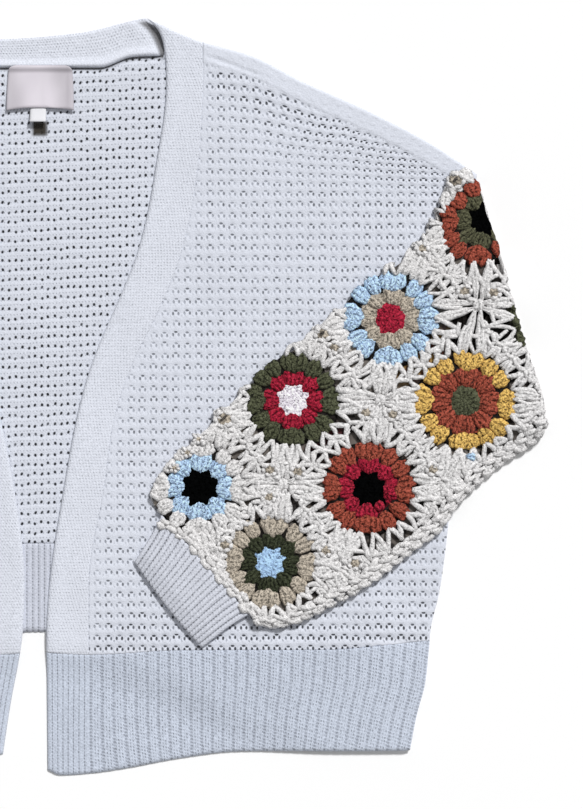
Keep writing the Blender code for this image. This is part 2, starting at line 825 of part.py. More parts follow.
def add_sleeve(name, side):
    """The flattened tube in two walls: the one that shows, and the one under it."""
    rise = CROCHET_WALL + SEAM_GAP
    under = sleeve_sheet(gaps=False)
    for vert in under.verts:
        vert.co.z = 0.0
    add_sleeve_wall(name + "_sleeve_under", side, under, sleeve_rest)
    upper = sleeve_sheet(gaps=True)
    add_sleeve_wall(name + "_sleeve_upper", side, upper, lambda x, y: sleeve_rest(x, y) + rise)


def add_sleeve_turn(name, side):
    """The hidden stretch between the armhole seam and the fold: one rounded solid, layered at its edge."""
    solid = bmesh.new()
    middle = sum((Vector(point) for point in TURN_OUTLINE), Vector((0.0, 0.0))) / len(TURN_OUTLINE)
    rim, _ = round_rim(solid, len(TURN_OUTLINE), filled=False)
    solid.faces.new(rim)
    for count, layer in enumerate(TURN_LAYERS):
        if count:
            rim, _ = extrude_rim(solid, rim)
        for point, vert in zip(TURN_OUTLINE, rim):
            flat = middle + (Vector(point) - middle) * (1.0 - layer.inset / TURN_REACH)
            vert.co = Vector((side * flat.x, flat.y, layer.z))
    solid.faces.new(rim)
    bmesh.ops.recalc_face_normals(solid, faces=solid.faces[:])
    add_object(name + "_sleeve_turn", solid, CROCHET_CREAM)


def add_cuff(name, side):
    """A flattened ribbed tube, open at both ends, with ribs along it on both faces."""
    half_points = 2 * CUFF_RIBS + 1
    around = 2 * half_points
    height = 2.0 * CUFF_WALL + CUFF_SLIT

    def section_point(index, section, inner):
        upper = index < half_points
        step = index if upper else around - 1 - index
        share = 2.0 * step / (half_points - 1) - 1.0
        end = step in (0, half_points - 1)
        rise = RIB_RISE if step % 2 else 0.0
        half_width = section.half - (CUFF_WALL if inner else 0.0)
        half_height = (CUFF_SLIT if inner else height) / 2.0 * (CUFF_FOLD_SHARE if end else 1.0)
        z = half_height + (0.0 if inner or not upper else rise)
        flat = to_world(section.along, section.middle + share * half_width)
        return Vector((side * flat.x, flat.y, SLEEVE_REST + height / 2.0 + (z if upper else -half_height)))

    tube = bmesh.new()
    place = tube.verts.layers.int.new("place")
    rim, _ = round_rim(tube, around, filled=False)
    for section_index, section in enumerate(CUFF_SECTIONS):
        if section_index:
            rim, _ = extrude_rim(tube, rim)
        for index, vert in enumerate(rim):
            vert.co = section_point(index, section, inner=False)
            vert[place] = section_index * around + index
    made = bmesh.ops.extrude_face_region(tube, geom=tube.faces[:], use_keep_orig=True)
    for vert in (item for item in made["geom"] if isinstance(item, bmesh.types.BMVert)):
        section_index, index = divmod(vert[place], around)
        vert.co = section_point(index, CUFF_SECTIONS[section_index], inner=True)
    bmesh.ops.recalc_face_normals(tube, faces=tube.faces[:])
    add_object(name + "_cuff", tube, BODY_KNIT)


def add_label():
    """A bare satin label, sewn along its top and lifting towards its lower edge."""

    def place(column, row):
        across = 2.0 * column / (LABEL_COLUMNS - 1) - 1.0
        down = row / (LABEL_ROWS - 1)
        width = LABEL_HALF_WIDTH * (1.0 - LABEL_TAPER * (1.0 - down) ** 2)
        bottom = LABEL_BOTTOM_Y - LABEL_BOTTOM_BOW * across * across
        return Vector((across * width, mix(LABEL_TOP_Y, bottom, down), 0.0))

    def rest(x, y):
        down = clamp((LABEL_TOP_Y - y) / (LABEL_TOP_Y - LABEL_BOTTOM_Y), 0.0, 1.0)
        return KNIT_WALL + SEAM_GAP + LABEL_LIFT * down * down

    sheet = grid_sheet(LABEL_COLUMNS, LABEL_ROWS, place)
    thicken(sheet, rest, TAPE_WALL)
    add_object("neck_label", sheet, SATIN, roughness=0.45)


def add_size_tab():
    def place(column, row):
        return Vector(((TAB_LEFT_X, TAB_RIGHT_X)[column], (TAB_TOP_Y, TAB_BOTTOM_Y)[row], 0.0))

    sheet = grid_sheet(2, 2, place)
    thicken(sheet, lambda x, y: KNIT_WALL + SEAM_GAP, TAPE_WALL)
    add_object("size_tab", sheet, TAPE_WHITE, roughness=0.5)


for old in list(bpy.data.objects):
    bpy.data.objects.remove(old, do_unlink=True)
cardigan = bpy.data.collections.new("crochet_cardigan")
bpy.context.scene.collection.children.link(cardigan)

add_back()
add_back_hem()
add_neck_band()
for side_name, side_sign in (("left", 1.0), ("right", -1.0)):
    add_front(side_name, side_sign)
    add_front_band(side_name, side_sign)
    add_front_hem(side_name, side_sign)
    add_sleeve_turn(side_name, side_sign)
    add_sleeve(side_name, side_sign)
    add_cuff(side_name, side_sign)
add_label()
add_size_tab()
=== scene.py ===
"""A cropped crochet cardigan, laid flat with its sleeves folded across the fronts, on a pale floor.

Metres, +Z up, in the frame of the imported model. X runs to the wearer's left and Y from the hem to the neck.
Each knit piece is a closed wall laid out from its own edges, and each sleeve is joined from crochet stitches.
"""
import logging
import math
from collections.abc import Callable
from dataclasses import dataclass, field
from enum import Enum
from functools import lru_cache

import bmesh
import bpy
import numpy as np
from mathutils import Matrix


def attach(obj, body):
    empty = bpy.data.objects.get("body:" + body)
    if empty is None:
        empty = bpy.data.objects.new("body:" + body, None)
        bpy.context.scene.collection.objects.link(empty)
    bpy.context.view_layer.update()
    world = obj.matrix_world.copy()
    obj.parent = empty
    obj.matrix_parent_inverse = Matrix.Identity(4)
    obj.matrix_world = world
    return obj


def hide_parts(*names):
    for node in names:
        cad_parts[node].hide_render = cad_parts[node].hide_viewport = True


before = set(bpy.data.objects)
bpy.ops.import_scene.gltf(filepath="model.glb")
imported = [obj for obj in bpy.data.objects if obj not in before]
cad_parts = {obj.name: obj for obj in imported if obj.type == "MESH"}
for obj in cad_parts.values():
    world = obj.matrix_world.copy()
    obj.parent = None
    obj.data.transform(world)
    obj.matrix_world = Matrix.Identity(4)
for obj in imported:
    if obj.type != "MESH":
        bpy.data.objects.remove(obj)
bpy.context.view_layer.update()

log = logging.getLogger("cardigan")
Array = np.ndarray
Line = Callable[[Array], Array]
Field = Callable[[Array, Array], Array]
Mesh = bpy.types.Mesh
Material = bpy.types.Material
Place = tuple[float, float]
Oval = tuple[Place, Place]
Colour = tuple[float, float, float]

# Walls, from the ground up
KNIT_WALL = 0.0025
CROCHET_WALL = 0.0026
TAPE_WALL = 0.0010
SEAM_GAP = 0.0003
FRONT_REST = KNIT_WALL + SEAM_GAP
FRONT_TOP = FRONT_REST + KNIT_WALL
SLEEVE_REST = FRONT_TOP + SEAM_GAP
SLEEVE_HEIGHT = 2.0 * CROCHET_WALL + SEAM_GAP

# Body
UNDERARM = (0.2933, -0.0200)
SIDE_HEM_X = 0.2605
NECK_END_X = 0.0900
NECK_TUCK = 0.0040
HEM_RAMP = 0.030
CLEAR_OF_HEM = 0.004
EDGE_ROUND = 0.0022
THINNEST = 0.0004
SEAM_ROUND = 0.00015

# Stitches
MESH_WIDTH = 0.00787
MESH_ROW = 0.00758
MESH_START = (0.12403, 0.2583)
BACK_WIDTH = 0.00457
BACK_ROW = 0.00684
MOSS_PITCH = 0.0021
WIDE_RIB = 0.0078
NARROW_RIB = 0.0038
NARROW_RIB_ZONE = 0.0300
BACK_RIB = 0.0041
RIB_ROW = 0.0023
RIB_RISE = 0.0006
HEM_WIDTH = 0.2664
HEM_DEPTH = 0.0800
SHOULDER_STRIP = 0.0135
SWELL = 0.00008

# Sleeve, in its own frame: along runs from cuff to shoulder, across from the upper edge to the lower edge
SLEEVE_ANGLE = math.radians(41.4)
SLEEVE_ORIGIN = (0.2464, 0.0543)
SLEEVE_SEAM_ALONG = -0.2100
SLEEVE_END_ALONG = 0.1085
FOLD_TOP = (0.3101, 0.1474)
FOLD_END = (0.3556, -0.0130)
FOLD_CORNER = (0.3563, -0.0190)
CORNER_WAY = (0.93, -0.36)
ALONG_WAY = np.array((math.cos(SLEEVE_ANGLE), math.sin(SLEEVE_ANGLE)))
DOWN_WAY = np.array((math.sin(SLEEVE_ANGLE), -math.cos(SLEEVE_ANGLE)))
SAG_RAMP = 0.015
SAG_CLEAR = 0.0015
ROLL_OUTER = SLEEVE_HEIGHT / 2.0
ROLL_MIDDLE = (SLEEVE_HEIGHT - CROCHET_WALL) / 2.0
LONGEST_ROLL = 0.82 * math.pi


@dataclass(frozen=True)
class Curve:
    """A smooth line through a few points: cubic pieces between them, and flat past both ends."""

    points: tuple[Place, ...]

    def __call__(self, place: Array) -> Array:
        """Reads the line.

        Args:
            place: where to read it.

        Returns:
            The line's values there.
        """
        xs, ys = np.array(sorted(self.points)).T
        chords = np.diff(ys) / np.diff(xs)
        steepest = 3.0 * np.minimum(np.abs(chords[:-1]), np.abs(chords[1:]))
        middles = np.clip(0.5 * (chords[:-1] + chords[1:]), -steepest, steepest)
        middles[chords[:-1] * chords[1:] <= 0.0] = 0.0
        slopes = np.concatenate([chords[:1], middles, chords[-1:]])
        i = np.clip(np.searchsorted(xs, place, side="right") - 1, 0, len(xs) - 2)
        span = xs[i + 1] - xs[i]
        t = np.clip((place - xs[i]) / span, 0.0, 1.0)
        first = (1.0 + 2.0 * t) * (1.0 - t) ** 2 * ys[i] + t * (1.0 - t) ** 2 * span * slopes[i]
        second = t * t * (3.0 - 2.0 * t) * ys[i + 1] + t * t * (t - 1.0) * span * slopes[i + 1]
        return first + second

    def moved(self, offset: float) -> Line:
        """The same line, offset by a constant."""
        return lambda place: self(place) + offset


# Lines of the garment, each as (place, value)
shoulder_y = Curve((
    (0.0749, 0.2657), (0.1099, 0.2503), (0.1519, 0.2377), (0.1834, 0.2216),
    (0.2359, 0.1978), (0.2779, 0.1754), (0.3073, 0.1558),
))
EDGE_BOTH = (
    (0.2657, 0.0756), (0.2566, 0.0840), (0.2370, 0.0889), (0.2181, 0.0896), (0.1607, 0.0822),
    (0.1260, 0.0760), (0.0984, 0.0686), (0.0760, 0.0598), (0.0277, 0.0392), (-0.0046, 0.0294),
)
band_line_x = Curve((
    (0.2480, 0.1155), (0.2090, 0.1148), (0.1495, 0.1099), (0.0949, 0.0980), (0.0557, 0.0819),
    (0.0263, 0.0672), (-0.0109, 0.0539), (-0.0648, 0.0455), (-0.1320, 0.0350), (-0.1820, 0.0350),
))
side_x = Curve((
    (0.1558, 0.3073), (-0.0200, 0.2933), (-0.0865, 0.2877), (-0.1390, 0.2807), (-0.1600, 0.2755),
    (-0.1775, 0.2737), (-0.2020, 0.2709), (-0.2230, 0.2653), (-0.2475, 0.2605),
))
rib_top_y = Curve((
    (0.0056, -0.1795), (0.0350, -0.1810), (0.1000, -0.1778), (0.2000, -0.1775), (0.2716, -0.1712),
))
neck_top_y = Curve((
    (-0.0756, 0.2657), (-0.0570, 0.2585), (-0.0266, 0.2510), (0.0000, 0.2523),
    (0.0364, 0.2566), (0.0679, 0.2643), (0.0756, 0.2657),
))
neck_seam_y = Curve((
    (-0.0895, 0.2390), (-0.0650, 0.2380), (-0.0430, 0.2308), (0.0000, 0.2308),
    (0.0430, 0.2308), (0.0650, 0.2380), (0.0895, 0.2390),
))
sleeve_upper = Curve((
    (-0.2170, -0.0030), (-0.2100, -0.0160), (-0.2000, -0.0230), (-0.1900, -0.0265), (-0.1770, -0.0285),
    (-0.1570, -0.0305), (-0.1360, -0.0322), (-0.1100, -0.0325), (-0.0950, -0.0338), (-0.0800, -0.0332),
    (-0.0660, -0.0325), (-0.0420, -0.0310), (-0.0190, -0.0308), (-0.0030, -0.0325), (0.0170, -0.0308),
    (0.0350, -0.0288), (0.0530, -0.0288), (0.0640, -0.0330), (0.0750, -0.0375), (0.0900, -0.0440),
    (0.1000, -0.0480), (0.1130, -0.0460),
))
sleeve_lower = Curve((
    (-0.2100, 0.1000), (-0.2050, 0.1075), (-0.1990, 0.1115), (-0.1850, 0.1178), (-0.1670, 0.1225),
    (-0.1480, 0.1272), (-0.1270, 0.1302), (-0.0910, 0.1326), (-0.0720, 0.1340), (-0.0550, 0.1295),
    (-0.0370, 0.1275), (-0.0170, 0.1275), (0.0000, 0.1292), (0.0170, 0.1318), (0.0290, 0.1305),
    (0.1130, 0.1305),
))
cuff_middle = Curve(((-0.2103, 0.0435), (-0.2240, 0.0450), (-0.2510, 0.0480)))
cuff_half = Curve(((-0.2103, 0.0465), (-0.2240, 0.0425), (-0.2510, 0.0375)))
row_droop = Curve((
    (0.1130, 0.0), (0.1560, 0.0040), (0.1810, 0.0120), (0.1970, 0.0180), (0.2180, 0.0230),
    (0.2330, 0.0320), (0.2695, 0.0495), (0.2900, 0.0560),
))


class Side(Enum):
    """The garment's halves, named from the wearer."""

    LEFT = "left"
    RIGHT = "right"

    @property
    def sign(self) -> float:
        """Which way the half lies along X."""
        return 1.0 if self is Side.LEFT else -1.0


class Slot(Enum):
    """The record's material slots."""

    KNIT = "body_knit"
    YARN = "crochet_yarn"
    SATIN = "label_satin"
    TAPE = "tab_tape"


class Edge(Enum):
    """The edges of a panel."""

    INNER = "inner"
    OUTER = "outer"
    TOP = "top"
    BOTTOM = "bottom"


front_edge_x = {
    Side.LEFT: Curve(EDGE_BOTH + (
        (-0.0662, 0.0175), (-0.1313, 0.0077), (-0.1705, 0.0056), (-0.2150, 0.0059), (-0.2640, 0.0063),
    )),
    Side.RIGHT: Curve(EDGE_BOTH + (
        (-0.0662, 0.0165), (-0.1313, 0.0094), (-0.1705, 0.0115), (-0.2150, 0.0196), (-0.2640, 0.0270),
    )),
}
front_hem_y = {
    Side.LEFT: Curve((
        (0.0063, -0.2620), (0.0154, -0.2657), (0.0370, -0.2643), (0.0570, -0.2615),
        (0.0990, -0.2538), (0.1410, -0.2489), (0.2570, -0.2482), (0.2610, -0.2475),
    )),
    Side.RIGHT: Curve((
        (0.0063, -0.2495), (0.0154, -0.2500), (0.0370, -0.2520), (0.0570, -0.2540),
        (0.0990, -0.2520), (0.1410, -0.2489), (0.2570, -0.2482), (0.2610, -0.2475),
    )),
}


def mix(first: Array | float, second: Array | float, share: Array | float) -> Array:
    """The value a share of the way from the first to the second."""
    return first + (second - first) * share


def smooth(low: float, high: Array | float, value: Array) -> Array:
    """A soft step from 0 at low to 1 at high."""
    t = np.clip((value - low) / (high - low), 0.0, 1.0)
    return t * t * (3.0 - 2.0 * t)


def bell(value: Array, middle: float, width: float) -> Array:
    """A round bump of height 1 at the middle."""
    return np.exp(-(((value - middle) / width) ** 2))


def level(value: float) -> Line:
    """A line at one value."""
    return lambda place: np.full_like(place, value)


def rib_groove(ribs: Array, width: float) -> Array:
    """The groove between two ribs: 1 in its middle, 0 on the ribs."""
    a = np.mod(ribs, 1.0)
    return bell(np.minimum(a, 1.0 - a), 0.0, width)


def arch(x: Array, middle: float, side: float) -> Array:
    """The back's hem line, which rises from the side seams to the middle as a half wave."""
    share = np.clip(np.abs(x) / SIDE_HEM_X, 0.0, 1.0)
    return mix(middle, side, 0.5 * (1.0 - np.cos(math.pi * share)))


def back_hem_y(x: Array) -> Array:
    """Lower edge of the back's hem."""
    return arch(x, -0.1650, -0.2475)


def back_rib_top_y(x: Array) -> Array:
    """Seam between the back and its hem."""
    return arch(x, -0.1030, -0.1712)


def back_top_y(x: Array) -> Array:
    """Top of the back: the neck seam in the middle, and the shoulder line outside it."""
    return np.where(np.abs(x) <= NECK_END_X, neck_seam_y(x) - SEAM_GAP, shoulder_y(np.abs(x)))


def neck_line_y(x: Array) -> Array:
    """Top of the neck band, which stays under the shoulder line at its ends."""
    return np.minimum(neck_top_y(x), shoulder_y(np.abs(x)) - SEAM_GAP)


def front_rest(x: Array, y: Array) -> Array:
    """Height under a front: on the back, then down to the ground past the back's hem."""
    past = back_hem_y(x) - CLEAR_OF_HEM - y
    return FRONT_REST * (1.0 - smooth(0.0, HEM_RAMP, past))


def ground(x: Array, y: Array) -> Array:
    """The surface that the garment lies on."""
    return np.zeros_like(x)


def fold_normal() -> Array:
    """The level unit vector that points out over the sleeve's fold."""
    way = np.subtract(FOLD_END, FOLD_TOP)
    return np.array((-way[1], way[0])) / np.linalg.norm(way)


def to_world(along: Array, across: Array) -> tuple[Array, Array]:
    """Places on the sleeve, from its own frame to the garment's.

    Args:
        along: distance from the sleeve's origin towards the shoulder.
        across: distance from the sleeve's origin towards its lower edge.

    Returns:
        Their X and Y.
    """
    x = SLEEVE_ORIGIN[0] + along * ALONG_WAY[0] + across * DOWN_WAY[0]
    y = SLEEVE_ORIGIN[1] + along * ALONG_WAY[1] + across * DOWN_WAY[1]
    return x, y


def to_sleeve(x: Array, y: Array) -> tuple[Array, Array]:
    """Places on the sleeve, from the garment's frame to its own.

    Args:
        x, y: places on the garment.

    Returns:
        Their distances along and across the sleeve.
    """
    dx, dy = x - SLEEVE_ORIGIN[0], y - SLEEVE_ORIGIN[1]
    return dx * ALONG_WAY[0] + dy * ALONG_WAY[1], dx * DOWN_WAY[0] + dy * DOWN_WAY[1]


def sleeve_rest(x: Array, y: Array) -> Array:
    """Height under the folded sleeve: on the body, and down on the ground past its side.

    Args:
        x, y: places on the garment.

    Returns:
        The height at each place.
    """
    past_side = x - side_x(y) - SAG_CLEAR
    foot = mix(UNDERARM[1], FOLD_CORNER[1], (x - UNDERARM[0]) / (FOLD_CORNER[0] - UNDERARM[0]))
    past_turn = foot - SAG_CLEAR - y
    return SLEEVE_REST * (1.0 - np.clip(np.minimum(past_side, past_turn) / SAG_RAMP, 0.0, 1.0))


@dataclass(frozen=True, eq=False)
class Signal:
    """A value on its way through a material's nodes, which takes plain arithmetic."""

    nodes: "Nodes"
    socket: bpy.types.NodeSocket

    def __add__(self, other: "Signal | float") -> "Signal":
        """The sum."""
        return self.nodes.math("ADD", self, other)

    def __sub__(self, other: "Signal | float") -> "Signal":
        """The difference."""
        return self.nodes.math("SUBTRACT", self, other)

    def __rsub__(self, other: float) -> "Signal":
        """A plain number less this value."""
        return self.nodes.math("SUBTRACT", other, self)

    def __mul__(self, other: "Signal | float") -> "Signal":
        """The product."""
        return self.nodes.math("MULTIPLY", self, other)

    def __truediv__(self, other: float) -> "Signal":
        """The quotient."""
        return self.nodes.math("DIVIDE", self, other)

    __radd__, __rmul__ = __add__, __mul__

    def larger(self, other: "Signal") -> "Signal":
        """The larger of the two."""
        return self.nodes.math("MAXIMUM", self, other)

    def fract(self) -> "Signal":
        """The part past its whole number."""
        return self.nodes.math("FRACT", self)

    def floor(self) -> "Signal":
        """Its whole number."""
        return self.nodes.math("FLOOR", self)

    def zigzag(self, span: float) -> "Signal":
        """The value folded up and down between 0 and the span."""
        return self.nodes.math("PINGPONG", self, span)

    def step(self, low: float, high: float) -> "Signal":
        """A soft step from 0 at low to 1 at high."""
        inputs = {"Value": self, "From Min": low, "From Max": high}
        return self.nodes.add("ShaderNodeMapRange", inputs, "Result", interpolation_type="SMOOTHSTEP")


class Nodes:
    """Builds one material's nodes, a step at a time."""

    def __init__(self, name: str) -> None:
        """Starts a material with a bare shader.

        Args:
            name: the material's name.
        """
        self.material = bpy.data.materials.new(name)
        self.material.use_nodes = True
        self.tree = self.material.node_tree
        self.shader = self.tree.nodes["Principled BSDF"]

    def feed(self, socket: bpy.types.NodeSocket, value: object) -> None:
        """Gives a socket a link or a constant.

        Args:
            socket: the socket.
            value: a signal, a number or a colour.
        """
        if isinstance(value, Signal):
            self.tree.links.new(value.socket, socket)
        elif isinstance(value, tuple) and len(value) == 3 and socket.type == "RGBA":
            socket.default_value = (*value, 1.0)
        else:
            socket.default_value = value

    def add(self, kind: str, inputs: dict, output: int | str = 0, **settings: object) -> Signal:
        """Adds a node.

        Args:
            kind: its type.
            inputs: its sockets' values or links, by name or number.
            output: which of its outputs goes on.
            settings: its own settings.

        Returns:
            What comes out of it.
        """
        node = self.tree.nodes.new(kind)
        for key, value in settings.items():
            setattr(node, key, value)
        for key, value in inputs.items():
            self.feed(node.inputs[key], value)
        return Signal(self, node.outputs[output])

    def math(self, operation: str, first: Signal | float, second: Signal | float = 0.0) -> Signal:
        """One step of arithmetic."""
        return self.add("ShaderNodeMath", {0: first, 1: second}, operation=operation)

    def stitches(self) -> tuple[Signal, Signal]:
        """The piece's own stitch coordinates.

        Returns:
            The place across and the place along, in stitches.
        """
        flat = self.add("ShaderNodeUVMap", {}, uv_map="stitch")
        across = self.add("ShaderNodeSeparateXYZ", {0: flat})
        return across, Signal(self, across.socket.node.outputs[1])

    def attribute(self, name: str) -> Signal:
        """A number that the mesh holds at each point."""
        return self.add("ShaderNodeAttribute", {}, "Fac", attribute_name=name)

    def noise(self, scale: float, detail: float = 2.0) -> Signal:
        """Cloudy noise in the object's own space."""
        place = self.add("ShaderNodeTexCoord", {}, "Object")
        return self.add("ShaderNodeTexNoise", {"Vector": place, "Scale": scale, "Detail": detail})

    def chance(self, first: Signal, second: Signal) -> Signal:
        """A fixed random number for each pair of whole numbers."""
        pair = self.add("ShaderNodeCombineXYZ", {0: first.floor(), 1: second.floor()})
        return self.add("ShaderNodeTexWhiteNoise", {"Vector": pair}, noise_dimensions="2D")

    def spot(self, a: Signal, b: Signal, oval: Oval) -> Signal:
        """A soft oval patch.

        Args:
            a: the place across.
            b: the place down.
            oval: the patch's middle, and its half width and half height.

        Returns:
            The patch, from 0 to 1.
        """
        middle, reach = oval
        across, down = (a - middle[0]) / reach[0], (b - middle[1]) / reach[1]
        far = self.math("SQRT", across * across + down * down)
        return 1.0 - far.step(0.45, 1.25)

    def blend(self, share: Signal, first: Signal | Colour, second: Signal | Colour) -> Signal:
        """A mix of two colours."""
        return self.add("ShaderNodeMix", {0: share, 6: first, 7: second}, 2, data_type="RGBA")

    def shine(self, sheen: float, sheen_roughness: float = 0.5, specular: float = 0.5) -> None:
        """Sets the shader's sheen and gloss.

        Args:
            sheen: how strong the sheen of fine fibres is.
            sheen_roughness: how far it spreads.
            specular: how strong the gloss is.
        """
        self.shader.inputs["Sheen Weight"].default_value = sheen
        self.shader.inputs["Sheen Roughness"].default_value = sheen_roughness
        self.shader.inputs["Specular IOR Level"].default_value = specular

    def finish(self, colour: Signal, roughness: float, height: Signal, depth: float) -> Material:
        """Wires the shader and hands over the material.

        Args:
            colour: its colour.
            roughness: its roughness.
            height: the fine relief, from 0 to 1.
            depth: how deep the relief is, in metres.

        Returns:
            The finished material.
        """
        self.feed(self.shader.inputs["Base Color"], colour)
        self.feed(self.shader.inputs["Roughness"], roughness)
        bump = self.add("ShaderNodeBump", {"Height": height, "Distance": depth, "Strength": 1.0})
        self.feed(self.shader.inputs["Normal"], bump)
        return self.material


class Stitch(Enum):
    """The knit textures of the body."""

    MESH = "openwork, right side"
    REVERSE = "openwork, wrong side"
    MOSS = "fine plain knit"
    RIB = "ribbing"


# Parts of one stitch in its own unit square, each an oval's middle and reach
TOP_EYELET = ((0.50, 0.15), (0.17, 0.10))
LEFT_EYELET = ((0.26, 0.41), (0.10, 0.17))
RIGHT_EYELET = ((0.74, 0.41), (0.10, 0.17))
BORDER_DIMPLE = ((0.50, 0.64), (0.09, 0.13))
MESH_LOOP = ((0.50, 0.50), (0.22, 0.26))
REVERSE_HOLE = ((0.50, 0.50), (0.22, 0.17))
REVERSE_TICK = ((0.50, 0.06), (0.18, 0.30))
MOSS_DIMPLE = ((0.50, 0.50), (0.26, 0.34))
LADDER_DOT = ((0.50, 0.50), (0.26, 0.36))

# Painted shade: the colour that cloth is painted towards where deep shade falls
DEEP_SHADE = (0.034, 0.028, 0.021)


@dataclass(frozen=True)
class KnitFinish:
    """A matte cotton knit: its colour, and the eyelets and loops of its stitch, with painted shade in its
    eyelets, dimples and grooves.
    """

    name: str
    stitch: Stitch
    light: Colour = (0.735, 0.765, 0.850)
    # Painted shade: the colours of half open and open eyelets, dimples, dots and grooves
    shade: Colour = (0.430, 0.455, 0.520)
    hole: Colour = (0.070, 0.074, 0.088)
    grain: float = 0.87
    vary: tuple[float, float] = (0.50, 0.60)
    groove: float = 0.30
    columns: float = 3.0
    dots: float = 0.40

    def shifted(self, nodes: Nodes, value: Signal | float, shift: float, reach: float) -> Signal:
        """Sets a value off a little in each stitch, by a chance of its own.

        Args:
            nodes: the material's nodes.
            value: the value.
            shift: a whole number that sets these chances apart from others.
            reach: how far the values spread.

        Returns:
            The varied value.
        """
        p, q = nodes.stitches()
        return value + (nodes.chance(p + shift, q) - 0.5) * reach

    def varied(self, nodes: Nodes, hole: Signal, shift: float) -> Signal:
        """Makes each stitch's hole a little more or less open.

        Args:
            nodes: the material's nodes.
            hole: the holes.
            shift: a whole number that sets these holes' chances apart from others'.

        Returns:
            The varied holes.
        """
        p, q = nodes.stitches()
        return hole * (nodes.chance(p + shift, q) * self.vary[1] + self.vary[0])

    def mesh_pattern(self, nodes: Nodes) -> tuple[Signal, Signal]:
        """Openwork: three eyelets round each loop, and a faint one on the border.

        Args:
            nodes: the material's nodes.

        Returns:
            How open the knit is, and its fine relief.
        """
        p, q = nodes.stitches()
        a, b = self.shifted(nodes, p.fract(), 5.0, 0.09), self.shifted(nodes, q.fract(), 9.0, 0.16)
        top = self.varied(nodes, nodes.spot(a, b, TOP_EYELET), 0.0)
        left = self.varied(nodes, nodes.spot(a, b, LEFT_EYELET), 31.0)
        right = self.varied(nodes, nodes.spot(a, b, RIGHT_EYELET), 67.0)
        border = nodes.spot((p + 0.5).zigzag(1.0), b, BORDER_DIMPLE) * 0.32
        return top.larger(border).larger(left.larger(right)), nodes.spot(a, b, MESH_LOOP) * 0.5

    def reverse_pattern(self, nodes: Nodes) -> tuple[Signal, Signal]:
        """The openwork's wrong side: slanted holes in rows, with small ticks between them.

        Args:
            nodes: the material's nodes.

        Returns:
            How open the knit is, and its fine relief.
        """
        p, q = nodes.stitches()
        a, b = p.fract(), q.fract()
        slant = (a - 0.5) * self.shifted(nodes, 0.10, 21.0, 0.5)
        a, b = self.shifted(nodes, a, 13.0, 0.18), self.shifted(nodes, b, 57.0, 0.24)
        hole = self.varied(nodes, nodes.spot(a, b + slant, REVERSE_HOLE), 0.0)
        tick = self.varied(nodes, nodes.spot((p * 2.0).fract(), (q * 2.0).fract(), REVERSE_TICK), 41.0)
        return hole.larger(tick * 0.34), (q * 2.0).zigzag(1.0) * 0.3

    def moss_pattern(self, nodes: Nodes) -> tuple[Signal, Signal]:
        """Plain knit: fine dimples, set off from row to row.

        Args:
            nodes: the material's nodes.

        Returns:
            How open the knit is, and its fine relief.
        """
        p, q = nodes.stitches()
        dimple = self.varied(nodes, nodes.spot((p + q.floor() * 0.37).fract(), q.fract(), MOSS_DIMPLE), 0.0)
        return dimple * nodes.noise(260.0) * 0.40, dimple * -0.35

    def rib_pattern(self, nodes: Nodes) -> tuple[Signal, Signal]:
        """Ribs: a beaded groove between each two, and ladders of small dots along them.

        Args:
            nodes: the material's nodes.

        Returns:
            How open the knit is, and its fine relief.
        """
        p, q = nodes.stitches()
        a = p.fract()
        column, row = p * self.columns, q + a * 0.8
        dot = nodes.spot(column.fract(), row.fract(), LADDER_DOT)
        dots = dot * (nodes.chance(column, row) * 0.9 + 0.35) * nodes.attribute("ladder")
        groove = (1.0 - a.zigzag(0.5).step(0.03, 0.17)) * self.groove
        uneven = nodes.noise(420.0, 1.0) * 1.4 + 0.30
        beads = q.zigzag(0.5) * 1.8 + 0.55
        open_share = (groove * uneven * beads).larger(dots * self.dots)
        return open_share, 1.0 - open_share

    def material(self) -> Material:
        """Makes the finish.

        Returns:
            Its material.
        """
        patterns = {
            Stitch.MESH: self.mesh_pattern,
            Stitch.REVERSE: self.reverse_pattern,
            Stitch.MOSS: self.moss_pattern,
            Stitch.RIB: self.rib_pattern,
        }
        nodes = Nodes(self.name)
        open_share, height = patterns[self.stitch](nodes)
        open_share = open_share * nodes.attribute("openness")
        cloud, fluff = nodes.noise(22.0, 3.0), nodes.noise(950.0, 3.0)
        tone = (cloud * 0.16 + fluff * 0.84).step(0.32, 0.68)
        cloth = nodes.blend(tone, tuple(self.grain * part for part in self.light), self.light)
        # Painted shade: the more open a stitch, the darker it is painted, first to the shade colour and then
        # to the hole colour
        cloth = nodes.blend(open_share.step(0.05, 0.55), cloth, self.shade)
        cloth = nodes.blend(open_share.step(0.50, 1.15), cloth, self.hole)
        # Painted shade of deep folds and under parts, from the mesh's shade numbers
        cloth = nodes.blend(nodes.attribute("shade"), cloth, DEEP_SHADE)
        relief = height * 0.6 + fluff * 0.5 - open_share
        nodes.shine(0.25, 0.6, 0.2)
        return nodes.finish(cloth, 0.92, relief, 0.0006)


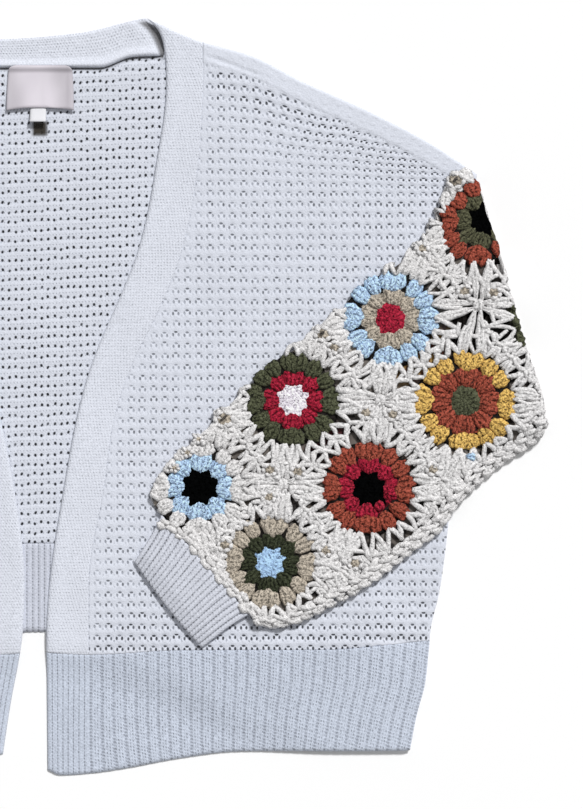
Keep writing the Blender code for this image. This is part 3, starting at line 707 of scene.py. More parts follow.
@dataclass(frozen=True)
class YarnFinish:
    """Soft crochet yarn in one dye: strands with grooves between them, each of twisted plies; grooves painted
    in shade, crests with a painted highlight.
    """

    name: str
    colour: Colour
    # The dye is scaled down for painted shade in the grooves and up, with a lift, for a painted highlight on
    # the crests; the lift also sets the sheen and gloss
    depth: float = 0.18
    crest_highlight: float = 1.50
    lift: float = 0.012
    twist: float = 0.56
    part: float = 0.80
    fuzz: float = 3.2

    def material(self) -> Material:
        """Makes the finish.

        Returns:
            Its material.
        """
        nodes = Nodes(self.name)
        u, v = nodes.stitches()
        u = u + (nodes.noise(300.0, 1.0) - 0.5) * 1.2
        v = v + (nodes.noise(360.0, 1.0) - 0.5) * 3.2
        groove = 1.0 - u.fract().zigzag(0.5).step(0.0, 0.26)
        lean = (u.zigzag(1.0) - 0.5) * 1.3
        valley = 1.0 - (v + lean).zigzag(0.5).step(0.02, 0.26)
        fluff = nodes.noise(620.0, 4.0)
        dark = (groove * self.part).larger(valley * self.twist) + (fluff - 0.5) * self.fuzz
        # Painted shade in the grooves and between the plies, and a painted highlight on the crests
        low = tuple(self.depth * part for part in self.colour)
        pale = tuple(min(1.0, self.crest_highlight * part + self.lift) for part in self.colour)
        cloth = nodes.blend(dark.step(0.25, 0.95), self.colour, low)
        cloth = nodes.blend(1.0 - dark.step(-0.30, 0.20), cloth, pale)
        nodes.shine(4.0 * self.lift, 0.5, 8.0 * self.lift)
        return nodes.finish(cloth, 0.88, fluff * 0.6 - dark, 0.0005)


@dataclass(frozen=True)
class SatinFinish:
    """Woven satin with a soft gloss, fine cross threads and a slanting band of painted sheen."""

    name: str
    colour: Colour
    roughness: float
    thread: float = 9.0
    slant: float = 0.25
    band: float = 13.5

    def material(self) -> Material:
        """Makes the finish.

        Returns:
            Its material.
        """
        nodes = Nodes(self.name)
        p, q = nodes.stitches()
        weave, warp = (q * self.thread).zigzag(0.5), (p * self.thread).zigzag(0.5)
        # Painted sheen: a slanting band of light and soft random patches, over the fine threads
        aside = nodes.math("ABSOLUTE", p + q * self.slant - self.band)
        light = 1.0 - aside.step(0.5, 6.0)
        share = nodes.noise(30.0, 1.0) * 0.4 + weave * 0.2 + light * 0.45
        low, pale = (tuple(min(1.0, part * scale) for part in self.colour) for scale in (0.80, 1.10))
        cloth = nodes.blend(share.step(0.25, 0.80), low, pale)
        nodes.shine(0.15)
        return nodes.finish(cloth, self.roughness, weave + warp, 0.0001)


@dataclass(frozen=True)
class FloorFinish:
    """The plain pale floor."""

    name: str = "pale_floor"
    colour: Colour = (0.975, 0.975, 0.975)
    cloud: float = 1.005

    def material(self) -> Material:
        """Makes the finish.

        Returns:
            Its material.
        """
        nodes = Nodes(self.name)
        cloud = nodes.noise(3.0, 1.0)
        bright = tuple(part * self.cloud for part in self.colour)
        tone = nodes.blend(cloud.step(0.3, 0.7), self.colour, bright)
        return nodes.finish(tone, 0.95, cloud, 0.0001)


MESH_KNIT = KnitFinish("mesh_knit", Stitch.MESH)
REVERSE_KNIT = KnitFinish(
    "reverse_knit", Stitch.REVERSE, hole=(0.012, 0.013, 0.017), grain=0.84, vary=(0.92, 0.45),
)
MOSS_KNIT = KnitFinish("moss_knit", Stitch.MOSS, light=(0.785, 0.815, 0.902), grain=0.80)
RIB_KNIT = KnitFinish(
    "rib_knit", Stitch.RIB, light=(0.665, 0.725, 0.845), shade=(0.330, 0.360, 0.430), grain=0.72,
    groove=0.34, columns=4.0, dots=0.36,
)
PALE_RIB_KNIT = KnitFinish(
    "pale_rib_knit", Stitch.RIB, light=(0.730, 0.755, 0.840), shade=(0.340, 0.355, 0.410), grain=0.76,
    groove=0.44, columns=2.0, dots=0.25,
)
BACK_RIB_KNIT = KnitFinish(
    "back_rib_knit", Stitch.RIB, light=(0.655, 0.682, 0.775), shade=(0.360, 0.380, 0.440), grain=0.80,
    groove=0.36, columns=2.0, dots=0.30,
)
LABEL_SATIN = SatinFinish("label_satin", (0.640, 0.600, 0.655), 0.42)
TAB_TAPE = SatinFinish("tab_tape", (0.68, 0.68, 0.71), 0.6)


class Dye(Enum):
    """The yarn's dyes, with their colours, and two dark colours of painted shade for gaps and hollows."""

    CREAM = (0.704, 0.692, 0.690)
    # Painted shade, not dyes: a dark colour for hollows and a darker one for the gaps between clusters
    SHADED = (0.075, 0.066, 0.058)
    DEEP = (0.016, 0.014, 0.013)
    BLACK = (0.0016, 0.0017, 0.0018)
    BLUE = (0.490, 0.672, 0.930)
    SKY = (0.370, 0.555, 0.825)
    CRIMSON = (0.345, 0.012, 0.036)
    GREEN = (0.074, 0.080, 0.044)
    FOREST = (0.036, 0.043, 0.022)
    SAGE = (0.090, 0.090, 0.050)
    RUST = (0.310, 0.066, 0.040)
    TAN = (0.490, 0.430, 0.352)
    YELLOW = (0.720, 0.445, 0.125)
    PINKISH = (0.800, 0.745, 0.830)

    def finish(self) -> YarnFinish:
        """The yarn finish in this dye: soft in cream, and with lighter painted shade in the grooves of the
        pale dyes.

        Returns:
            The finish.
        """
        name = "yarn_" + self.name.lower()
        if self is Dye.CREAM:
            return YarnFinish(name, self.value, depth=0.46, crest_highlight=1.30, twist=0.30, part=0.66, fuzz=2.7)
        if self in (Dye.BLUE, Dye.SKY, Dye.TAN, Dye.PINKISH):
            return YarnFinish(name, self.value, depth=0.36, crest_highlight=1.35)
        # No painted highlight and no sheen on the black yarn and on the painted gap shade
        return YarnFinish(name, self.value, lift=0.0 if self in (Dye.BLACK, Dye.DEEP) else 0.012)


@dataclass(frozen=True)
class UnderFinish:
    """The crochet under the sleeve's upper side, as the gaps show it: painted in shade, with darker painted
    hollows.
    """

    name: str = "under_lace"
    # Painted shade: the under side's cream in its hollows, in shade, and in less shade near the upper fold
    hollow_shade: Colour = (0.020, 0.017, 0.016)
    cloth: Colour = (0.150, 0.132, 0.118)
    pale: Colour = (0.480, 0.430, 0.370)
    # The under side's motifs, each in its dye mottled with a darker painted shade of it, over an oval in
    # stitches
    motifs: tuple[tuple[Colour, Colour, Oval], ...] = (
        ((0.440, 0.270, 0.090), (0.150, 0.050, 0.032), ((0.6, 12.3), (9.5, 4.0))),
        ((0.075, 0.016, 0.018), (0.020, 0.017, 0.016), ((-30.0, 12.0), (7.0, 4.0))),
        ((0.030, 0.027, 0.022), (0.012, 0.011, 0.010), ((19.0, 15.0), (9.0, 13.0))),
    )

    def material(self) -> Material:
        """Makes the finish.

        Returns:
            Its material.
        """
        nodes = Nodes(self.name)
        along, across = nodes.stitches()
        # Painted shade, lighter near the upper fold, with darker painted hollows at random
        near_fold = (1.0 - across.step(-2.0, 5.0)) * (1.0 - along.step(6.0, 12.0))
        cloth = nodes.blend(near_fold, self.cloth, self.pale)
        hollow_shade = nodes.blend(near_fold, self.hollow_shade, self.cloth)
        tone = nodes.blend(nodes.noise(110.0).step(0.44, 0.56), hollow_shade, cloth)
        mottle = nodes.noise(160.0, 1.0).step(0.42, 0.58)
        for first, second, oval in self.motifs:
            dye = nodes.blend(mottle, first, second)
            tone = nodes.blend(nodes.spot(along, across, oval), tone, dye)
        return nodes.finish(tone, 0.95, nodes.noise(700.0), 0.0004)


SHADED_UNDER_LACE = UnderFinish()
Finish = KnitFinish | YarnFinish | SatinFinish | FloorFinish | UnderFinish


@lru_cache(maxsize=None)
def finished(finish: Finish) -> Material:
    """The one material of a finish."""
    return finish.material()


@dataclass(frozen=True)
class Cut:
    """The flat cut of a sheet: its sides and its area."""

    sides: tuple[float, float]
    area: float


def link(name: str, data: bpy.types.ID) -> bpy.types.Object:
    """Puts a mesh, lamp or camera in the scene.

    Args:
        name: the object's name.
        data: what it shows.

    Returns:
        The new object.
    """
    thing = bpy.data.objects.new(name, data)
    bpy.context.scene.collection.objects.link(thing)
    return thing


def as_mesh(shape: bmesh.types.BMesh, name: str) -> Mesh:
    """Turns a finished shape into a mesh.

    Args:
        shape: the shape, which is freed.
        name: the mesh's name.

    Returns:
        The mesh.
    """
    mesh = bpy.data.meshes.new(name)
    shape.to_mesh(mesh)
    shape.free()
    return mesh


def points_of(mesh: Mesh) -> Array:
    """Reads a mesh's points.

    Args:
        mesh: the mesh.

    Returns:
        The points, one row each.
    """
    points = np.empty(3 * len(mesh.vertices), dtype=np.float32)
    mesh.vertices.foreach_get("co", points)
    return points.reshape(-1, 3).astype(float)


def grown(shape: bmesh.types.BMesh, rim: list[bmesh.types.BMEdge]) -> tuple[set, list]:
    """Grows one row of faces from a rim.

    Args:
        shape: the shape.
        rim: its edges to grow from.

    Returns:
        The new points, and the new rim's edges.
    """
    made = bmesh.ops.extrude_edge_only(shape, edges=rim)["geom"]
    fresh = {item for item in made if isinstance(item, bmesh.types.BMVert)}
    edges = [item for item in made if isinstance(item, bmesh.types.BMEdge)]
    return fresh, [edge for edge in edges if all(vert in fresh for vert in edge.verts)]


def put_numbers(
    mesh: Mesh, points: Array, across: Array, along: Array, numbers: dict[str, Array],
    sign: float = 1.0,
) -> None:
    """Moves a mesh's points and gives it its stitch coordinates and other numbers that its finish reads.

    Args:
        mesh: the mesh.
        points: the place of each point.
        across: stitch coordinate across, at each point.
        along: stitch coordinate along, at each point.
        numbers: each further number by its name, at each point.
        sign: 1 as it is, or -1 for the wearer's right half, in the mirror.
    """
    points[:, 0] *= sign
    mesh.vertices.foreach_set("co", points.astype(np.float32).ravel())
    corners = np.empty(len(mesh.loops), dtype=np.int32)
    mesh.loops.foreach_get("vertex_index", corners)
    layer = mesh.uv_layers.new(name="stitch")
    flat = np.stack([across[corners], along[corners]], axis=1).astype(np.float32)
    layer.uv.foreach_set("vector", flat.ravel())
    for name, values in numbers.items():
        layer = mesh.attributes.new(name, "FLOAT", "POINT")
        layer.data.foreach_set("value", values.astype(np.float32))
    mesh.shade_smooth()
    mesh.update()
    if sign < 0.0:
        mesh.flip_normals()


def add_piece(
    name: str,
    mesh: Mesh,
    finishes: list[Finish],
    node: str,
    cut: Cut | None = None,
) -> bpy.types.Object:
    """Puts a finished mesh in the scene, hides the solid that it stands for, and logs what it is.

    Args:
        name: the piece's name.
        mesh: its mesh, in place.
        finishes: its finishes, in the order of its faces' materials.
        node: the solid that it stands for.
        cut: its flat cut, if it is a sheet.

    Returns:
        The new object.
    """
    mesh.name = name
    piece = link(name, mesh)
    for finish in finishes:
        mesh.materials.append(finished(finish))
    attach(piece, "root")
    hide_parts(node)
    told = ""
    if cut:
        told = f", cut {cut.sides[0]:.3f} x {cut.sides[1]:.3f} m, {cut.area:.4f} m2"
    log.info("%s: %d triangles%s", name, sum(len(face.vertices) - 2 for face in mesh.polygons), told)
    return piece


@lru_cache(maxsize=None)
def unit_wall(columns: int, rows: int, coarse: int) -> Mesh:
    """A closed wall on the unit square: a fine face over a coarser underside.

    Args:
        columns: faces across, a multiple of coarse.
        rows: faces down, a multiple of coarse.
        coarse: how many fine faces one face of the underside spans.

    Returns:
        The wall's mesh, with the upper face at Z = 1 and the underside at Z = 0.
    """
    wall = bmesh.new()
    upper = bmesh.ops.create_grid(wall, x_segments=columns, y_segments=rows, size=0.5)["verts"]
    bmesh.ops.translate(wall, verts=upper, vec=(0.0, 0.0, 1.0))
    upper_rim = [edge for edge in wall.edges if edge.is_boundary]
    made = bmesh.ops.create_grid(wall, x_segments=columns // coarse, y_segments=rows // coarse, size=0.5)
    lower = set(made["verts"])
    lower_rim = [edge for edge in wall.edges if edge.is_boundary and edge.verts[0] in lower]
    bmesh.ops.bisect_edges(wall, edges=lower_rim, cuts=coarse - 1)
    lower_rim = [edge for edge in wall.edges if edge.is_boundary and edge.verts[0].co.z < 0.5]
    bmesh.ops.bridge_loops(wall, edges=upper_rim + lower_rim)
    bmesh.ops.recalc_face_normals(wall, faces=wall.faces[:])
    for face in wall.faces:
        face.material_index = 1 if all(vert.co.z < 0.5 for vert in face.verts) else 0
    return as_mesh(wall, "unit_wall")


def laid_out(wall: Mesh) -> tuple[Array, Array, Array]:
    """Reads a unit wall's points.

    Args:
        wall: the wall.

    Returns:
        Each point's share of the way across and down, and whether it is on the upper face.
    """
    unit = points_of(wall)
    return unit[:, 0] + 0.5, 0.5 - unit[:, 1], unit[:, 2] > 0.5


@dataclass
class KnitPanel:
    """A knit wall between two side lines, a top line and a bottom line."""

    name: str
    inner: Line
    outer: Line
    top: Line
    bottom: Line
    columns: int
    rows: int
    rest: Field
    wall: float = KNIT_WALL
    sign: float = 1.0
    coarse: int = 4
    free: tuple[Edge, ...] = ()
    crowd: float = 0.0
    strip: bool = False
    first_top: float = 0.0
    first_bottom: float = -0.2

    def lay(self, s: Array, t: Array) -> tuple[Array, Array]:
        """Places of the panel's own shares, on the ground.

        Args:
            s: share of the way from the inner line to the outer line.
            t: share of the way from the top line to the bottom line.

        Returns:
            Their X and Y, for the wearer's left half.
        """
        middle = 2.0 * s - 1.0
        s = 0.5 + 0.5 * mix(middle, middle ** 3, self.crowd)
        y_top = np.full_like(s, self.first_top)
        y_bottom = np.full_like(s, self.first_bottom)
        for _ in range(8):
            y_top = self.top(mix(self.inner(y_top), self.outer(y_top), s))
            y_bottom = self.bottom(mix(self.inner(y_bottom), self.outer(y_bottom), s))
        y = mix(y_top, y_bottom, t)
        return mix(self.inner(y), self.outer(y), s), y

    def rounding(self, x: Array, y: Array) -> Array:
        """How far the upper face drops towards each edge: a round lip at a free one, a dip at a seam.

        Args:
            x, y: places on the garment.

        Returns:
            The drop at each place.
        """
        gaps = {
            Edge.INNER: x - self.inner(y),
            Edge.OUTER: self.outer(y) - x,
            Edge.TOP: self.top(x) - y,
            Edge.BOTTOM: y - self.bottom(x),
        }
        drop = np.zeros_like(x)
        for edge, gap in gaps.items():
            depth = EDGE_ROUND if edge in self.free else SEAM_ROUND
            near = 1.0 - np.clip(gap / EDGE_ROUND, 0.0, 1.0)
            drop = np.maximum(drop, min(depth, 0.8 * self.wall) * (1.0 - np.sqrt(1.0 - near * near)))
        return drop

    def cut(self) -> Cut:
        """The flat cut, from the panel's own outline.

        Returns:
            Its box and area, or for a strip its length, mean width and area.
        """
        edge = np.linspace(0.0, 1.0, 60)
        s = np.concatenate([edge, np.ones(60), edge[::-1], np.zeros(60)])
        t = np.concatenate([np.zeros(60), edge, np.ones(60), edge[::-1]])
        x, y = self.lay(s, t)
        area = 0.5 * abs(float(np.dot(x, np.roll(y, 1)) - np.dot(y, np.roll(x, 1))))
        if not self.strip:
            return Cut((float(np.ptp(x)), float(np.ptp(y))), area)
        half = np.full(60, 0.5)
        runs = [self.lay(edge, half), self.lay(half, edge)]
        length = max(float(np.sum(np.hypot(np.diff(run[0]), np.diff(run[1])))) for run in runs)
        return Cut((length, area / length), area)

    def mesh(self, relief: Field, stitches: Callable, **numbers: Field) -> Mesh:
        """Builds the wall.

        Args:
            relief: height over the plain wall, by X and Y.
            stitches: stitch coordinates across and along, by X and Y.
            numbers: further numbers for the finish, by X and Y: openness of the stitches, ladder of the ribs
                and painted shade of deep folds.

        Returns:
            The finished mesh.
        """
        mesh = unit_wall(self.columns, self.rows, self.coarse).copy()
        s, t, upper = laid_out(mesh)
        x, y = self.lay(s, t)
        low = self.rest(x, y)
        high = low + self.wall + relief(x, y) - self.rounding(x, y)
        z = np.where(upper, np.maximum(high, low + THINNEST), low)
        across, along = stitches(x, y)
        values = {"openness": np.ones_like(x)}
        values.update({name: number(x, y) for name, number in numbers.items()})
        put_numbers(mesh, np.stack([x, y, z], axis=1), across, along, values, self.sign)
        return mesh


@dataclass(frozen=True)
class Crease:
    """A soft trough or ridge in the cloth, from one place to another."""

    start: Place
    end: Place
    width: float
    rise: float

    def height(self, x: Array, y: Array) -> Array:
        """Its height.

        Args:
            x, y: places on the garment.

        Returns:
            The height at each place.
        """
        way = np.subtract(self.end, self.start)
        long = float(np.hypot(*way))
        share = ((x - self.start[0]) * way[0] + (y - self.start[1]) * way[1]) / (long * long)
        aside = ((x - self.start[0]) * way[1] - (y - self.start[1]) * way[0]) / long
        ends = smooth(-0.15, 0.25, share) * (1.0 - smooth(0.75, 1.15, share))
        return self.rise * ends * bell(aside, 0.0, self.width)


FRONT_CREASES = (
    Crease((0.1170, 0.2390), (0.1570, 0.2240), 0.0016, -0.0008),
    Crease((0.1240, 0.2310), (0.1900, 0.2020), 0.0090, 0.0005),
    Crease((0.2350, -0.1690), (0.2740, -0.1740), 0.0020, -0.0009),
    Crease((0.2300, -0.1200), (0.2760, -0.1580), 0.0110, -0.0006),
    Crease((0.1500, 0.0900), (0.1100, -0.0200), 0.0150, -0.0005),
    Crease((0.0900, -0.0600), (0.0700, -0.1500), 0.0130, 0.0004),
)


def creased(x: Array, y: Array) -> Array:
    """Height of the fronts' creases."""
    return sum(crease.height(x, y) for crease in FRONT_CREASES)


def waves(x: Array, y: Array, seed: int) -> Array:
    """Slight unevenness of cloth that lies flat: a few long, crossing swells, up to about 0.3 mm.

    Args:
        x, y: places on the garment.
        seed: a number of the piece's own.

    Returns:
        The height at each place.
    """
    chance = np.random.default_rng(seed)
    height = np.zeros_like(x)
    for _ in range(5):
        turn = chance.uniform(0.0, math.tau)
        length = chance.uniform(0.05, 0.14)
        phase = chance.uniform(0.0, math.tau)
        height += np.sin(math.tau * (x * math.cos(turn) + y * math.sin(turn)) / length + phase)
    return SWELL * height


@dataclass
class Body:
    """The knit body: back, fronts, bands, hems and neck band."""

    front_columns: int = 176
    front_rows: int = 372
    back_columns: int = 192
    back_rows: int = 212
    neck_ribs: float = 8.0
    neck_rows: float = 12.0

    def mesh_stitches(self, x: Array, y: Array) -> tuple[Array, Array]:
        """Openwork stitches: upright columns, and rows that droop towards the shoulder's tip.

        Args:
            x, y: places on the garment.

        Returns:
            The stitch coordinates across and along.
        """
        droop = row_droop(x) * smooth(0.1350, 0.2150, y)
        widening = 1.0 - 0.13 * smooth(0.1600, 0.2000, y) * smooth(0.1300, 0.1900, x)
        reach = (x - MESH_START[0]) * widening
        return reach / MESH_WIDTH, (MESH_START[1] - y - droop) / MESH_ROW

    def mesh_relief(self, x: Array, y: Array) -> Array:
        """Raised loops and rows of the openwork, with a pit at each eyelet.

        Args:
            x, y: places on the garment.

        Returns:
            The height over the plain wall.
        """
        a, b = np.mod(self.mesh_stitches(x, y), 1.0)
        loop = bell(a, 0.5, 0.17) * bell(b, 0.46, 0.20)
        ridge = np.cos(math.tau * (b - 0.80)) * (0.8 + 0.2 * np.cos(math.tau * (a - 0.5)))
        legs = (bell(a, 0.26, 0.09) + bell(a, 0.74, 0.09)) * bell(b, 0.41, 0.18)
        apex = bell(a, 0.5, 0.16) * bell(b, 0.15, 0.10)
        knit = 0.00030 * loop + 0.00016 * ridge - 0.0009 * np.maximum(legs, apex)
        return knit * self.mesh_openness(x, y)

    def mesh_openness(self, x: Array, y: Array) -> Array:
        """The eyelets are deepest under the shoulder strip and over the hem, and closed on the strip.

        Args:
            x, y: places on the garment.

        Returns:
            How open the knit is.
        """
        below, over = shoulder_y(x) - y, y - rib_top_y(x)
        strip = smooth(SHOULDER_STRIP, 0.0175, below)
        near_shoulder = 0.45 * bell(below, 0.026, 0.014)
        near_hem = 0.40 * bell(over, 0.014, 0.018) + 0.55 * bell(over, 0.004, 0.008)
        side = 0.10 * smooth(0.18, 0.27, x)
        beside_band = 1.0 - 0.45 * (1.0 - smooth(0.0030, 0.0110, x - band_line_x(y)))
        return strip * beside_band * (0.86 + near_shoulder + near_hem + side)

    def add_front(self, side: Side) -> None:
        """One front of openwork knit, with its hem and its band.

        Args:
            side: which front.
        """
        edge = front_edge_x[side]
        name = side.value + "_front"
        panel = KnitPanel(
            name, band_line_x, side_x, shoulder_y, rib_top_y,
            self.front_columns, self.front_rows, front_rest, sign=side.sign, free=(Edge.OUTER, Edge.TOP),
        )
        seed = 11 if side is Side.LEFT else 12

        def relief(x: Array, y: Array) -> Array:
            """Openwork and creases, and a raised strip along the shoulder."""
            strip = 0.0005 * (1.0 - smooth(SHOULDER_STRIP, 0.0155, shoulder_y(x) - y))
            return self.mesh_relief(x, y) + creased(x, y) + strip + waves(x, y, seed)

        mesh = panel.mesh(relief, self.mesh_stitches, openness=self.mesh_openness)
        add_piece(name + "_mesh", mesh, [MESH_KNIT, REVERSE_KNIT], name, panel.cut())
        self.add_band(side, edge, seed)
        self.add_front_hem(side, edge, seed)

    def add_band(self, side: Side, edge: Curve, seed: int) -> None:
        """The plain band along a front's free edge.

        Args:
            side: which front.
            edge: its free edge.
            seed: the front's own number for its waves.
        """
        name = side.value + "_front_band"
        panel = KnitPanel(
            name, edge, band_line_x.moved(0.0004), shoulder_y, rib_top_y, 28, 360, front_rest,
            sign=side.sign, free=(Edge.INNER, Edge.TOP), strip=True,
        )

        mesh = panel.mesh(
            lambda x, y: waves(x, y, seed) + 0.0003 * bell(x - edge(y), 0.006, 0.004) + 0.0001,
            lambda x, y: ((x - edge(y)) / MOSS_PITCH, y / MOSS_PITCH),
        )
        add_piece(name + "_knit", mesh, [MOSS_KNIT, MOSS_KNIT], name, panel.cut())

    def hem_ribs(self, reach: Array) -> Array:
        """Rib coordinate across a front's hem: narrow ribs beside the free edge, then wide ones."""
        narrow = np.minimum(reach, NARROW_RIB_ZONE) / NARROW_RIB
        return narrow + np.maximum(reach - NARROW_RIB_ZONE, 0.0) / WIDE_RIB

    def add_front_hem(self, side: Side, edge: Curve, seed: int) -> None:
        """The ribbed hem of one front.

        Args:
            side: which front.
            edge: its free edge.
            seed: the front's own number for its waves.
        """
        name = side.value + "_front_hem"
        panel = KnitPanel(
            name, edge, side_x, rib_top_y, front_hem_y[side], 264, 60, front_rest, sign=side.sign,
            free=(Edge.INNER, Edge.OUTER, Edge.BOTTOM), strip=True,
        )

        def stitches(x: Array, y: Array) -> tuple[Array, Array]:
            """Ribs that fan out with the hem's width and lean a little on their way down.

            Args:
                x, y: places on the garment.

            Returns:
                The stitch coordinates across and along.
            """
            stretch = (side_x(y) - edge(y)) / HEM_WIDTH
            reach = (x - edge(y)) / stretch
            drop = np.clip((rib_top_y(x) - y) / HEM_DEPTH, 0.0, 1.0)
            inward = smooth(0.0150, 0.0700, reach) * (1.0 - smooth(0.1000, 0.2400, reach))
            return self.hem_ribs(reach - 0.0060 * drop ** 1.6 * inward), y / RIB_ROW

        def relief(x: Array, y: Array) -> Array:
            """Flat ribs with grooves, lower in the narrow ones, over the front's waves and creases.

            Args:
                x, y: places on the garment.

            Returns:
                The height over the plain wall.
            """
            ribs, _ = stitches(x, y)
            rise = RIB_RISE * np.where(ribs > NARROW_RIB_ZONE / NARROW_RIB, 0.42, 0.20)
            return rise * (1.0 - 1.3 * rib_groove(ribs, 0.11)) + 0.4 * waves(x, y, seed) + creased(x, y)

        mesh = panel.mesh(
            relief, stitches, ladder=lambda x, y: 0.35 + 0.65 * smooth(0.0290, 0.0330, x - edge(y)),
        )
        add_piece(name + "_ribs", mesh, [RIB_KNIT, RIB_KNIT], name, panel.cut())

    def back_stitches(self, x: Array, y: Array) -> tuple[Array, Array]:
        """Stitches of the back, whose rows rise a little to the wearer's left."""
        return x / BACK_WIDTH, (0.25 - y + 0.045 * x) / BACK_ROW

    def add_back(self) -> None:
        """The back of openwork knit, wrong side up, and its arched hem."""
        left, right = side_x, lambda y: -side_x(y)
        panel = KnitPanel(
            "back_panel", right, left, back_top_y, back_rib_top_y,
            self.back_columns, self.back_rows, ground, crowd=0.55, free=(Edge.INNER, Edge.OUTER),
        )

        def under_band(x: Array, y: Array, width: float) -> Array:
            """1 along the neck band's lower edge, and 0 away from it."""
            return bell(back_top_y(x) - y, 0.0, width) * (np.abs(x) < NECK_END_X)

        def relief(x: Array, y: Array) -> Array:
            """Rows with a pit at each hole, pressed down under the neck band.

            Args:
                x, y: places on the garment.

            Returns:
                The height over the plain wall.
            """
            a, b = np.mod(self.back_stitches(x, y), 1.0)
            knit = 0.00012 * np.cos(math.tau * b) - 0.0007 * bell(a, 0.5, 0.26) * bell(b, 0.5, 0.16)
            return knit + 0.5 * waves(x, y, 5) - 0.0022 * under_band(x, y, 0.0024)

        def shade(x: Array, y: Array) -> Array:
            """Painted shade under the size tab and under the neck band."""
            under_tab = smooth(0.0062, 0.0042, abs(x - 0.0010)) * smooth(0.0062, 0.0042, abs(y - 0.1880))
            return np.maximum(under_tab, 0.8 * under_band(x, y, 0.0016))

        mesh = panel.mesh(relief, self.back_stitches, shade=shade)
        add_piece("back", mesh, [REVERSE_KNIT, MESH_KNIT], "back_panel", panel.cut())
        hem = KnitPanel(
            "back_hem", right, left, back_rib_top_y, back_hem_y, 240, 28, ground, crowd=0.45,
            free=(Edge.INNER, Edge.OUTER, Edge.BOTTOM), strip=True,
        )

        mesh = hem.mesh(
            lambda x, y: RIB_RISE * (0.7 - 1.5 * rib_groove(x / BACK_RIB, 0.16)),
            lambda x, y: (x / BACK_RIB, y / RIB_ROW), ladder=lambda x, y: np.full_like(x, 0.3),
        )
        add_piece("back_ribs", mesh, [BACK_RIB_KNIT, BACK_RIB_KNIT], "back_hem", hem.cut())

    def add_neck_band(self) -> None:
        """The inside of the back neck's band: fine ribs above, a smooth turn below."""
        edge = front_edge_x[Side.LEFT]
        panel = KnitPanel(
            "neck_band", lambda y: -edge(y) - NECK_TUCK, edge.moved(NECK_TUCK), neck_line_y, neck_seam_y,
            168, 28, ground, free=(Edge.TOP, Edge.BOTTOM), strip=True, first_top=0.25, first_bottom=0.235,
        )

        def down(x: Array, y: Array) -> Array:
            """Share of the way down the band."""
            return (neck_top_y(x) - y) / (neck_top_y(x) - neck_seam_y(x))

        def wedge(x: Array, y: Array) -> Array:
            """1 where the band goes in under a front, falling to 0 beside it."""
            return 1.0 - smooth(0.0, mix(0.0165, 0.0060, down(x, y)), edge(y) - np.abs(x))

        def shade(x: Array, y: Array) -> Array:
            """Painted shade beside the fronts, but not on the band's top edge."""
            return 0.80 * smooth(0.12, 0.70, wedge(x, y)) * smooth(0.0006, 0.0040, neck_line_y(x) - y)

        def relief(x: Array, y: Array) -> Array:
            """Fine ribs above and the raised turn below, pressed down under the fronts.

            Args:
                x, y: places on the garment.

            Returns:
                The height over the plain wall.
            """
            share = down(x, y)
            ribs = 0.0001 * (1.0 - smooth(0.62, 0.70, share)) * np.cos(math.tau * self.neck_ribs * share)
            return ribs + 0.0003 + 0.0017 * smooth(0.70, 0.95, share) - 0.0028 * wedge(x, y)

        mesh = panel.mesh(
            relief, lambda x, y: (x / MOSS_PITCH, self.neck_rows * down(x, y)),
            openness=lambda x, y: 1.4 * (1.0 - smooth(0.60, 0.70, down(x, y))), shade=shade,
        )
        add_piece("neck_ribs", mesh, [MOSS_KNIT, MOSS_KNIT], "neck_band", panel.cut())

    def build(self) -> None:
        """Builds the whole body."""
        self.add_back()
        self.add_neck_band()
        for side in Side:
            self.add_front(side)


